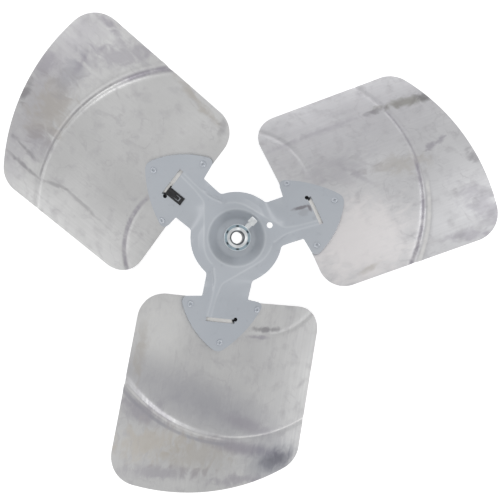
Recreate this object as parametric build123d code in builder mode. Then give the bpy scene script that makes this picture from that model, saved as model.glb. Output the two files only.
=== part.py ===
from build123d import *

import math
import os

# Three-blade propeller fan: pressed steel spider, turned hub, riveted aluminium blades.
# The fan's axis is Z, the hub's open end points to +Z, and z = 0 is the face of the raised ring
# of the spider. Each arm and blade is drawn with its arm along +X and then turned to its place.
# Offsets are measured across the arm, positive towards +Y of that drawing position.

# Fan
fan_diameter = 558.8
blade_count = 3
first_arm_angle = 20.9
blade_names = ("blade_right", "blade_left", "blade_lower")

# Forming cylinder that the paddles and blades are pressed to
pitch_angle = 27.5
camber_radius = 454.0
paddle_drop = 8.85

# Blade sheet
blade_thickness = 1.3
seat_gap = 0.2
leading_offset_root = 88.0
leading_offset_tip = 94.0
trailing_offset = 118.5
root_leading_x = 69.5
root_trailing_x = 66.0
root_corner_leading = 27.0
root_corner_trailing = 30.0
tip_corner_leading = 34.0
tip_corner_trailing = 24.0
blade_sections = 21

# Stiffening beads pressed into the blade: an arc across it, and a short one at the root corner
outer_bead_radius = 180.0
outer_bead_reach = 221.0
outer_bead_offset = 40.0
outer_bead_width_leading = 12.0
outer_bead_width_trailing = 7.0
outer_bead_depth = 2.4
inner_bead_radius = 77.0
inner_bead_reach = 103.0
inner_bead_offset = 45.0
inner_bead_width = 7.5
inner_bead_depth = 1.7
inner_bead_start = 25.0
inner_bead_fade = 22.0

# Spider sheet
spider_thickness = 2.3
dish_depth = 11.0
dish_floor_radius = 20.5
dish_rim_radius = 30.0
dish_bend_radius = 4.0
ring_width = 5.5
rim_run = 8.0
rim_drop = 3.6
flange_width = 5.7
rim_points = 5

# Arms
arm_end = 88.0
arm_leading_offset = 25.6
arm_trailing_offset = 24.0
arm_sections = 12
joint_lap = 1.5
joint_inset = 0.25
twist_start = 40.0
twist_end = 68.0
panel_raise = 2.8
step_low_offset = -18.5
step_high_offset = -13.0
ramp_start_offset = 1.0
ramp_end_offset = 13.5

# Paddles
notch_leading_x = 66.3
notch_trailing_x = 65.0
ear_leading_x = 69.5
ear_leading_offset = 48.5
ear_trailing_x = 67.0
ear_trailing_offset = 43.5
ear_corner_radius = 5.5
apex_x = 126.0
apex_radius = 9.0
edge_bulge_leading = 7.0
edge_bulge_trailing = 5.5
slot_width = 4.6
slot_end_radius = 2.2

# Pilot hole in one arm
pilot_x = 37.9
pilot_diameter = 6.4

# Rivets
rivet_apex_setback = 11.7
rivet_places = ((apex_x - rivet_apex_setback, 0.0), (76.5, -37.5), (74.7, 36.1))
rivet_shank_radius = 2.35
rivet_hole_clearance = 0.05
rivet_head_radius = 4.2
rivet_head_height = 1.4
rivet_roll_radius = 3.3
rivet_roll_height = 1.1
rivet_hollow_radius = 1.3
rivet_hollow_depth = 2.4
rivet_seat = 0.05

# Hub
hub_radius = 14.0
hub_height = 31.0
bore_diameter = 12.7
bore_chamfer_radius = 10.0
bore_chamfer_depth = 2.4
hub_edge_chamfer = 0.8
spigot_radius = 11.0
spigot_clearance = 0.05
stake_radius = 12.6
stake_height = 1.8
stake_gap = 0.05

# Set screw
screw_angle = 46.6
screw_height = 6.0
screw_thread_diameter = 7.94
screw_thread_clearance = 0.05
screw_neck_diameter = 6.2
screw_tip_gap = 0.4
screw_neck_start = 15.0
screw_head_start = 20.4
screw_head_length = 7.4
screw_head_width = 7.94
screw_head_chamfer = 0.9

# Balance clip, on the second arm
clip_arm = 1
clip_thickness = 0.5
clip_width = 10.8
clip_offset = 6.7
clip_gap = 0.2
clip_top_length = 19.0
clip_bottom_length = 12.0
clip_barb_length = 6.2
clip_barb_width = 5.8
clip_barb_slit = 1.0
clip_barb_start = 12.0

os.makedirs("parts", exist_ok=True)

# Values worked out from the sizes above
tip_radius = fan_diameter / 2
arm_step = 360.0 / blade_count
pitch = math.radians(pitch_angle)
camber_centre_offset = -camber_radius * math.sin(pitch)
camber_centre_z = -paddle_drop - camber_radius * math.cos(pitch)
blade_front_radius = camber_radius - spider_thickness - seat_gap
ring_outer_radius = dish_rim_radius + ring_width
rim_inner_radius = ring_outer_radius + rim_run
web_radius = rim_inner_radius + flange_width
arm_start = ring_outer_radius
bore_radius = bore_diameter / 2
through = 4 * camber_radius
slope_probe = 0.5
trim_margin = 4.0
drill_length = 8 * (spider_thickness + blade_thickness)


def smooth_step(value, start, end):
    """Rise from 0 at start to 1 at end, level at both ends."""
    share = min(max((value - start) / (end - start), 0.0), 1.0)
    return share * share * (3 - 2 * share)


def camber_height(offset, radius):
    """Height of a forming cylinder of this radius at an offset across the arm."""
    return camber_centre_z + math.sqrt(radius**2 - (offset - camber_centre_offset) ** 2)


def camber_slope(offset, radius):
    """Angle in radians by which that cylinder falls away at an offset."""
    return math.asin((offset - camber_centre_offset) / radius)


def camber_plane(x, offset, radius):
    """Plane tangent to the forming cylinder, its normal on the hub's side."""
    slope = camber_slope(offset, radius)
    return Plane(
        origin=(x, offset, camber_height(offset, radius)),
        x_dir=(1, 0, 0),
        z_dir=(0, math.sin(slope), math.cos(slope)),
    )


def arc_reach(offset, reach, radius, middle):
    """Distance out along the arm of a bead that follows a circle, and its slant there."""
    drop = math.sqrt(radius**2 - (offset - middle) ** 2)
    return reach - radius + drop, (offset - middle) / drop


def bead_edge(x, level, half_width, depth):
    """Smooth groove of one bead in a blade section."""
    Spline(
        (x - half_width, level),
        (x - half_width / 2, level - depth / 2),
        (x, level - depth),
        (x + half_width / 2, level - depth / 2),
        (x + half_width, level),
        tangents=((1, 0), (1, 0)),
    )


def web_height(radius):
    """Height of the spider's front face from the raised ring out to the rim."""
    return -rim_drop * smooth_step(radius, ring_outer_radius, rim_inner_radius)


def panel_height(offset):
    """How far the arm's middle panel stands proud of the paddle."""
    rise = smooth_step(offset, step_low_offset, step_high_offset)
    ramp = (offset - ramp_start_offset) / (ramp_end_offset - ramp_start_offset)
    return panel_raise * rise * (1 - min(max(ramp, 0.0), 1.0))


def arm_height(x, offset):
    """Height of an arm's front face: level at the web, pitched and stepped at the paddle."""
    turn = smooth_step(x, twist_start, twist_end)
    level = web_height(math.hypot(x, offset))
    pitched = camber_height(offset, camber_radius) + panel_height(offset)
    return (1 - turn) * level + turn * pitched


def arm_sheet(x, offset):
    """Upright thickness of an arm, so that the sheet keeps its gauge on its slopes."""
    rise = arm_height(x, offset + slope_probe) - arm_height(x, offset - slope_probe)
    return spider_thickness * math.hypot(1, rise / (2 * slope_probe))


rivet_hole_radius = rivet_shank_radius + rivet_hole_clearance
rivet_planes = [camber_plane(x, lateral, camber_radius) for x, lateral in rivet_places]

# One blade: sections across it lofted into a sheet, then trimmed to its outline
leading_end = -leading_offset_tip - trim_margin
trailing_end = trailing_offset + trim_margin / 2
blade_reach = tip_radius + trim_margin
section_step = (trailing_end - leading_end) / (blade_sections - 1)
with BuildPart() as blade_form:
    for index in range(blade_sections):
        lateral = leading_end + index * section_step
        front = camber_height(lateral, blade_front_radius)
        sheet = blade_thickness / math.cos(camber_slope(lateral, blade_front_radius))
        outer_x, outer_slant = arc_reach(lateral, outer_bead_reach, outer_bead_radius, outer_bead_offset)
        across = (lateral - leading_end) / (trailing_end - leading_end)
        outer_width = outer_bead_width_leading * (1 - across) + outer_bead_width_trailing * across
        outer_half = outer_width / 2 * math.hypot(1, outer_slant)
        inner_offset = max(lateral, inner_bead_offset)
        inner_x, inner_slant = arc_reach(
            inner_offset, inner_bead_reach, inner_bead_radius, inner_bead_offset
        )
        inner_half = inner_bead_width / 2 * math.hypot(1, inner_slant)
        inner_end = inner_bead_start + inner_bead_fade
        inner_depth = inner_bead_depth * smooth_step(lateral, inner_bead_start, inner_end)
        with BuildSketch(Plane(origin=(0, lateral, 0), x_dir=(1, 0, 0), z_dir=(0, -1, 0))):
            with BuildLine():
                for level in (front, front - sheet):
                    Line((0, level), (inner_x - inner_half, level))
                    bead_edge(inner_x, level, inner_half, inner_depth)
                    Line((inner_x + inner_half, level), (outer_x - outer_half, level))
                    bead_edge(outer_x, level, outer_half, outer_bead_depth)
                    Line((outer_x + outer_half, level), (blade_reach, level))
                Line((0, front), (0, front - sheet))
                Line((blade_reach, front), (blade_reach, front - sheet))
            make_face()
    loft()
    with BuildSketch() as blade_outline:
        with BuildLine():
            Polyline(
                (root_leading_x, -leading_offset_root),
                (tip_radius, -leading_offset_tip),
                (tip_radius, trailing_offset),
                (root_trailing_x, trailing_offset),
                close=True,
            )
        make_face()
        Circle(tip_radius, mode=Mode.INTERSECT)
        for corner, radius in (
            ((root_leading_x, -leading_offset_root), root_corner_leading),
            ((root_trailing_x, trailing_offset), root_corner_trailing),
            ((tip_radius, -leading_offset_tip), tip_corner_leading),
            ((tip_radius, trailing_offset), tip_corner_trailing),
        ):
            fillet(blade_outline.vertices().sort_by_distance(corner)[0], radius)
    extrude(amount=through, both=True, mode=Mode.INTERSECT)
    with Locations(*rivet_planes):
        Cylinder(rivet_hole_radius, drill_length, mode=Mode.SUBTRACT)

# One arm: sections that turn from level at the web to the pitch of the paddle
arm_offsets = (
    -arm_leading_offset,
    (step_low_offset - arm_leading_offset) / 2,
    step_low_offset,
    (step_low_offset + step_high_offset) / 2,
    step_high_offset,
    (step_high_offset + ramp_start_offset) / 2,
    ramp_start_offset,
    (ramp_start_offset + ramp_end_offset) / 2,
    ramp_end_offset,
    (ramp_end_offset + arm_trailing_offset) / 2,
    arm_trailing_offset,
)
with BuildPart() as arm_form:
    for index in range(arm_sections):
        x = arm_start + index * (arm_end + joint_lap - arm_start) / (arm_sections - 1)
        front = []
        back = []
        for lateral in arm_offsets:
            height = arm_height(x, lateral) - joint_inset
            front.append((lateral, height))
            back.append((lateral, height - arm_sheet(x, lateral) + 2 * joint_inset))
        with BuildSketch(Plane.YZ.offset(x)):
            with BuildLine():
                Spline(*front)
                Spline(*back)
                Line(front[0], back[0])
                Line(front[-1], back[-1])
            make_face()
    loft()

# The opening that an arm is let into, and the slot at its end
window_width = arm_leading_offset + arm_trailing_offset - 2 * joint_lap
slot_middle = (step_low_offset + ramp_end_offset) / 2
slot_length = ramp_end_offset - step_low_offset

# One paddle: a shell of the forming cylinder trimmed to a rounded shield, open for the arm
shell_offset = ear_leading_offset + ear_corner_radius
paddle_back_radius = camber_radius - spider_thickness
with BuildPart() as paddle_form:
    with BuildSketch(Plane.YZ):
        with BuildLine():
            for radius in (camber_radius, paddle_back_radius):
                ThreePointArc(
                    (-shell_offset, camber_height(-shell_offset, radius)),
                    (0, camber_height(0, radius)),
                    (shell_offset, camber_height(shell_offset, radius)),
                )
            for side in (-shell_offset, shell_offset):
                Line(
                    (side, camber_height(side, camber_radius)),
                    (side, camber_height(side, paddle_back_radius)),
                )
        make_face()
    extrude(amount=apex_x + apex_radius)
    with BuildSketch() as paddle_outline:
        with BuildLine():
            Polyline(
                (ear_leading_x, -ear_leading_offset),
                (notch_leading_x, joint_lap / 2 - arm_leading_offset),
                (notch_trailing_x, arm_trailing_offset - joint_lap / 2),
                (ear_trailing_x, ear_trailing_offset),
            )
            SagittaArc((ear_trailing_x, ear_trailing_offset), (apex_x, 0), edge_bulge_trailing)
            SagittaArc((apex_x, 0), (ear_leading_x, -ear_leading_offset), edge_bulge_leading)
        make_face()
        fillet(paddle_outline.vertices().sort_by_distance((apex_x, 0))[0], apex_radius)
        fillet(paddle_outline.vertices().group_by(Axis.Y)[0], ear_corner_radius)
        fillet(paddle_outline.vertices().group_by(Axis.Y)[-1], ear_corner_radius)
    extrude(amount=through, both=True, mode=Mode.INTERSECT)
    with BuildSketch():
        with Locations((arm_end - joint_lap, joint_lap - arm_leading_offset)):
            Rectangle(arm_end, window_width, align=(Align.MAX, Align.MIN))
        with Locations((arm_end + slot_width, slot_middle)):
            Rectangle(2 * slot_width, slot_length, align=(Align.MAX, Align.CENTER))
    extrude(amount=through, both=True, mode=Mode.SUBTRACT)

# Spider: the turned centre, with the arms and paddles let into it
dish_floor_z = -dish_depth
dish_slope = math.atan2(dish_depth, dish_rim_radius - dish_floor_radius)
dish_back_shift = spider_thickness * math.tan(dish_slope / 2)
rim_front = []
rim_back = []
for index in range(rim_points):
    radius = ring_outer_radius + index * (rim_inner_radius - ring_outer_radius) / (rim_points - 1)
    fall = math.sin(math.pi * index / (rim_points - 1)) * rim_drop / (rim_inner_radius - ring_outer_radius)
    gauge = spider_thickness * math.hypot(1, fall)
    rim_front.append((radius, web_height(radius)))
    rim_back.append((radius, web_height(radius) - gauge))
with BuildPart() as spider:
    with BuildSketch(Plane.XZ):
        with BuildLine():
            for drop, shift in ((0, 0), (spider_thickness, dish_back_shift)):
                FilletPolyline(
                    (spigot_radius + spigot_clearance, dish_floor_z - drop),
                    (dish_floor_radius + shift, dish_floor_z - drop),
                    (dish_rim_radius + shift, -drop),
                    (rim_front[0][0], -drop),
                    radius=dish_bend_radius,
                )
            for rim in (rim_front, rim_back):
                Spline(*rim, tangents=((1, 0), (1, 0)))
                Line(rim[-1], (web_radius, rim[-1][1]))
            Line((web_radius, rim_front[-1][1]), (web_radius, rim_back[-1][1]))
            Line(
                (spigot_radius + spigot_clearance, dish_floor_z),
                (spigot_radius + spigot_clearance, dish_floor_z - spider_thickness),
            )
        make_face()
    revolve(axis=Axis.Z)
    with PolarLocations(0, blade_count, start_angle=first_arm_angle):
        with Locations((arm_start + joint_lap, joint_lap - arm_leading_offset, 0)):
            Box(
                web_radius,
                window_width,
                through,
                align=(Align.MIN, Align.MIN, Align.CENTER),
                mode=Mode.SUBTRACT,
            )
        add(arm_form.part)
        add(paddle_form.part)
        with Locations((arm_end, slot_middle)):
            Box(
                slot_width,
                slot_length,
                through,
                align=(Align.MIN, Align.CENTER, Align.CENTER),
                mode=Mode.SUBTRACT,
            )
        with Locations(*rivet_planes):
            Cylinder(rivet_hole_radius, drill_length, mode=Mode.SUBTRACT)
        with Locations((arm_end, ramp_end_offset)):
            Cylinder(slot_end_radius, through, mode=Mode.SUBTRACT)
    with PolarLocations(pilot_x, 1, start_angle=first_arm_angle):
        Cylinder(pilot_diameter / 2, through, mode=Mode.SUBTRACT)
spider.part.label = "spider"
export_step(spider.part, "parts/spider.step")

# Blades: the same pressing at each arm
for index, blade_name in enumerate(blade_names):
    with BuildPart() as blade:
        add(blade_form.part, rotation=(0, 0, first_arm_angle + index * arm_step))
    blade.part.label = blade_name
    export_step(blade.part, f"parts/{blade_name}.step")

# Hub: a turned barrel on the dish floor, its spigot staked over behind it
floor_back_z = dish_floor_z - spider_thickness
hub_top_z = dish_floor_z + hub_height
stake_front_z = floor_back_z - stake_gap
stake_back_z = stake_front_z - stake_height
screw_direction = math.radians(screw_angle)
screw_plane = Plane(
    origin=(0, 0, screw_height),
    x_dir=(0, 0, 1),
    z_dir=(math.cos(screw_direction), math.sin(screw_direction), 0),
)
with BuildPart() as hub:
    with BuildSketch(Plane.XZ):
        with BuildLine():
            Polyline(
                (bore_radius, stake_back_z),
                (stake_radius - hub_edge_chamfer, stake_back_z),
                (stake_radius, stake_back_z + hub_edge_chamfer),
                (stake_radius, stake_front_z),
                (spigot_radius, stake_front_z),
                (spigot_radius, dish_floor_z),
                (hub_radius, dish_floor_z),
                (hub_radius, hub_top_z - hub_edge_chamfer),
                (hub_radius - hub_edge_chamfer, hub_top_z),
                (bore_chamfer_radius, hub_top_z),
                (bore_radius, hub_top_z - bore_chamfer_depth),
                close=True,
            )
        make_face()
    revolve(axis=Axis.Z)
    with Locations(screw_plane):
        Cylinder(
            screw_thread_diameter / 2 + screw_thread_clearance,
            2 * hub_radius,
            align=(Align.CENTER, Align.CENTER, Align.MIN),
            mode=Mode.SUBTRACT,
        )
hub.part.label = "hub"
export_step(hub.part, "parts/hub.step")

# Set screw: threaded end short of the bore, neck and square head
screw_tip = bore_radius + screw_tip_gap
with BuildPart() as set_screw:
    for start, end, diameter in (
        (screw_tip, screw_neck_start, screw_thread_diameter),
        (screw_neck_start, screw_head_start, screw_neck_diameter),
    ):
        with Locations(screw_plane.offset(start)):
            Cylinder(diameter / 2, end - start, align=(Align.CENTER, Align.CENTER, Align.MIN))
    with Locations(screw_plane.offset(screw_head_start)):
        Box(
            screw_head_width,
            screw_head_width,
            screw_head_length,
            align=(Align.CENTER, Align.CENTER, Align.MIN),
        )
    head_end = screw_plane.offset(screw_head_start + screw_head_length)
    head_face = set_screw.faces().sort_by_distance(head_end.origin)[0]
    chamfer(head_face.edges(), screw_head_chamfer)
set_screw.part.label = "set_screw"
export_step(set_screw.part, "parts/set_screw.step")

# Rivets: one hollow-ended rivet, then all nine of them through the paddles and blades
rivet_back = -(spider_thickness + seat_gap + blade_thickness + rivet_seat)
rivet_hollow_floor = rivet_roll_height - rivet_hollow_depth
rivet_lip = rivet_roll_height / 2
dome_radius = (rivet_head_radius**2 + rivet_head_height**2) / (2 * rivet_head_height)
dome_angle = math.asin(rivet_head_radius / dome_radius) / 2
dome_middle = (
    dome_radius * math.sin(dome_angle),
    rivet_back - rivet_head_height + dome_radius * (1 - math.cos(dome_angle)),
)
with BuildPart() as rivet_form:
    with BuildSketch(Plane.XZ):
        with BuildLine():
            Polyline(
                (0, rivet_back - rivet_head_height),
                (0, rivet_hollow_floor),
                (rivet_hollow_radius, rivet_hollow_floor),
                (rivet_hollow_radius, rivet_lip),
            )
            ThreePointArc(
                (rivet_hollow_radius, rivet_lip),
                ((rivet_hollow_radius + rivet_roll_radius) / 2, rivet_roll_height),
                (rivet_roll_radius, rivet_lip),
            )
            Polyline(
                (rivet_roll_radius, rivet_lip),
                (rivet_roll_radius, rivet_seat),
                (rivet_shank_radius, rivet_seat),
                (rivet_shank_radius, rivet_back),
                (rivet_head_radius, rivet_back),
            )
            ThreePointArc(
                (rivet_head_radius, rivet_back),
                dome_middle,
                (0, rivet_back - rivet_head_height),
            )
        make_face()
    revolve(axis=Axis.Z)
with BuildPart() as rivets:
    with PolarLocations(0, blade_count, start_angle=first_arm_angle):
        with Locations(*rivet_planes):
            add(rivet_form.part)
rivets.part.label = "rivets"
export_step(rivets.part, "parts/rivets.step")

# Balance clip: a spring clip over the slot's edge on one arm, with a barb pressed in its face
clip_lift = arm_height(arm_end, clip_offset + slope_probe) - arm_height(arm_end, clip_offset - slope_probe)
clip_rise = clip_lift / (2 * slope_probe)
clip_sheet = (arm_sheet(arm_end, clip_offset) - 2 * joint_inset) / math.hypot(1, clip_rise)
clip_plane = Plane(
    origin=(arm_end, clip_offset, arm_height(arm_end, clip_offset) - joint_inset),
    x_dir=(1, 0, 0),
    z_dir=(0, -1, -clip_rise),
)
clip_opening = clip_sheet / 2 + clip_gap
with BuildPart() as clip_form:
    with BuildSketch(clip_plane):
        with Locations((clip_gap, -clip_sheet / 2)):
            Circle(clip_opening + clip_thickness)
            Circle(clip_opening, mode=Mode.SUBTRACT)
            Rectangle(
                clip_top_length,
                clip_top_length,
                align=(Align.MAX, Align.CENTER),
                mode=Mode.SUBTRACT,
            )
        with Locations((clip_gap, clip_gap)):
            Rectangle(clip_top_length, clip_thickness, align=(Align.MAX, Align.MIN))
        with Locations((clip_gap, -clip_sheet - clip_gap)):
            Rectangle(clip_bottom_length, clip_thickness, align=(Align.MAX, Align.MAX))
    extrude(amount=clip_width / 2, both=True)
    barb_end = -clip_barb_start - (clip_barb_length - clip_barb_slit) / 2
    barb_side = (clip_barb_width - clip_barb_slit) / 2
    barb_middle = clip_gap + clip_thickness / 2
    barb_cut = clip_thickness + clip_gap
    with Locations(clip_plane):
        for side in (-barb_side, barb_side):
            with Locations((-clip_barb_start, barb_middle, side)):
                Box(clip_barb_length, barb_cut, clip_barb_slit, mode=Mode.SUBTRACT)
        with Locations((barb_end, barb_middle, 0)):
            Box(clip_barb_slit, barb_cut, clip_barb_width, mode=Mode.SUBTRACT)
with BuildPart() as balance_clip:
    add(clip_form.part, rotation=(0, 0, first_arm_angle + clip_arm * arm_step))
balance_clip.part.label = "balance_clip"
export_step(balance_clip.part, "parts/balance_clip.step")
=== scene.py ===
"""Studio scene of a three-blade propeller fan: pressed sheet blades and spider, turned hub, fasteners.

All sizes are in millimetres in the drawing frame of one arm, which lies along +X with offsets
across it along +Y. Meshes are written in metres in the row frame, at the origin.
"""

import logging
import math
from contextlib import contextmanager
from dataclasses import dataclass, field
from enum import Enum
from typing import Callable, Iterable, Iterator, Optional

import bmesh
import bpy
from mathutils import Matrix, Vector


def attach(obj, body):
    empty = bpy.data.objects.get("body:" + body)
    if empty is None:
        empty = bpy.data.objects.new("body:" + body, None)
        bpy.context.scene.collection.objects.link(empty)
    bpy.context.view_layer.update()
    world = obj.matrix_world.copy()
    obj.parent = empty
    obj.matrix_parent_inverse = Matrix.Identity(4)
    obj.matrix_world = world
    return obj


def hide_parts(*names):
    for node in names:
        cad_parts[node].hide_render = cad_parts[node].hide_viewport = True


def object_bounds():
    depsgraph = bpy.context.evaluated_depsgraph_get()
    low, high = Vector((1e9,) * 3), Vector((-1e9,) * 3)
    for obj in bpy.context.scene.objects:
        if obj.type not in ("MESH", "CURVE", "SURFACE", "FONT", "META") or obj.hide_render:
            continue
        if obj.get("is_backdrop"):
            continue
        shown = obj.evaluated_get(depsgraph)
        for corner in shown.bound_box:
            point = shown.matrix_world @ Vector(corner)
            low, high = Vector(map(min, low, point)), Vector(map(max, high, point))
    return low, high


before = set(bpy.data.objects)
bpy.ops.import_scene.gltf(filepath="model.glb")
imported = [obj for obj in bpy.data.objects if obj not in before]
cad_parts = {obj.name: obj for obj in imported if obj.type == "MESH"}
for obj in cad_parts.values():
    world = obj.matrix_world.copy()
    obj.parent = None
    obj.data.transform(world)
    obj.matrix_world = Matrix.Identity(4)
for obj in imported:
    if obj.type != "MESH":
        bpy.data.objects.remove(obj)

LOG = logging.getLogger("fan_scene")
Point = tuple[float, float]
Triple = tuple[float, float, float]
Colour = Triple
Thing = bpy.types.Object
Socket = bpy.types.NodeSocket
MM = 0.001
NEAR_ZERO = 1e-9
ORIGIN: Point = (0.0, 0.0)


class Arm(Enum):
    """The three arms of the fan, counted counter-clockwise from the first."""

    RIGHT = 0
    LEFT = 1
    LOWER = 2


class Slot(Enum):
    """The record's material slots."""

    PAINT = "grey_paint"
    ZINC = "zinc_steel"
    BLADE = "blade_aluminium"
    RIVET = "rivet_steel"
    SPRING = "black_spring_steel"


def smooth_step(value: float, start: float, end: float) -> float:
    """Rise smoothly from 0 to 1.

    Args:
        value: where to read the rise.
        start: where it leaves 0.
        end: where it reaches 1.

    Returns:
        The share risen at value.
    """
    share = min(max((value - start) / (end - start), 0.0), 1.0)
    return share * share * (3 - 2 * share)


def spread(start: float, end: float, pitch: float) -> list[float]:
    """Space values evenly between two limits.

    Args:
        start: the lower limit, which is left out.
        end: the upper limit, which is left out.
        pitch: the wanted distance between values.

    Returns:
        The values between the limits.
    """
    count = max(1, round((end - start) / pitch))
    return [start + index * (end - start) / count for index in range(1, count)]


def read_line(points: Iterable[Point], place: float) -> float:
    """Read a bent line, level beyond its ends.

    Args:
        points: its corners, by rising place.
        place: where to read it.

    Returns:
        The line's value there.
    """
    line = list(points)
    if place <= line[0][0]:
        return line[0][1]
    for first, last in zip(line, line[1:]):
        if place <= last[0]:
            share = (place - first[0]) / max(last[0] - first[0], NEAR_ZERO)
            return first[1] + share * (last[1] - first[1])
    return line[-1][1]


def read_curve(points: Iterable[Point], place: float) -> float:
    """Read a smooth curve through points, level beyond its ends.

    Args:
        points: its points, by rising place.
        place: where to read it.

    Returns:
        The curve's value there.
    """
    line = list(points)
    if place <= line[0][0]:
        return line[0][1]
    if place >= line[-1][0]:
        return line[-1][1]
    index = next(number for number in range(1, len(line)) if place <= line[number][0])
    first, last = line[index - 1], line[index]
    run = last[0] - first[0]
    before = line[max(index - 2, 0)]
    after = line[min(index + 1, len(line) - 1)]
    slope_first = (last[1] - before[1]) / (last[0] - before[0]) * run
    slope_last = (after[1] - first[1]) / (after[0] - first[0]) * run
    share = (place - first[0]) / run
    rise = last[1] - first[1]
    bent = slope_first * (1 - share) ** 2 * share - slope_last * share**2 * (1 - share)
    return first[1] + rise * share * share * (3 - 2 * share) + bent


def arc(centre: Point, reach: Point, start: float, end: float, steps: int) -> list[Point]:
    """Lay points along part of an ellipse.

    Args:
        centre: its centre.
        reach: its half axes.
        start: the first angle in radians.
        end: the last angle in radians.
        steps: straight runs between the two.

    Returns:
        The points, both ends included.
    """
    angles = [start + (end - start) * step / steps for step in range(steps + 1)]
    x, y = centre
    return [(x + reach[0] * math.cos(angle), y + reach[1] * math.sin(angle)) for angle in angles]


def round_corners(points: list[Point], radii: dict[int, float], steps: int = 8) -> list[Point]:
    """Round the named corners of a closed outline.

    Args:
        points: the outline's corners in order.
        radii: corner number to radius.
        steps: straight runs in each rounded corner.

    Returns:
        The outline with those corners replaced by arcs.
    """
    rounded: list[Point] = []
    for index, point in enumerate(points):
        if index not in radii:
            rounded.append(point)
            continue
        corner = Vector(point)
        before = (Vector(points[index - 1]) - corner).normalized()
        after = (Vector(points[(index + 1) % len(points)]) - corner).normalized()
        half = before.angle(after) / 2
        centre = corner + (before + after).normalized() * (radii[index] / math.sin(half))
        first = corner + before * (radii[index] / math.tan(half)) - centre
        last = corner + after * (radii[index] / math.tan(half)) - centre
        sweep = math.atan2(first.x * last.y - first.y * last.x, first.dot(last))
        for step in range(steps + 1):
            turned = Matrix.Rotation(sweep * step / steps, 2) @ first
            rounded.append((centre.x + turned.x, centre.y + turned.y))
    return rounded


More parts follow.
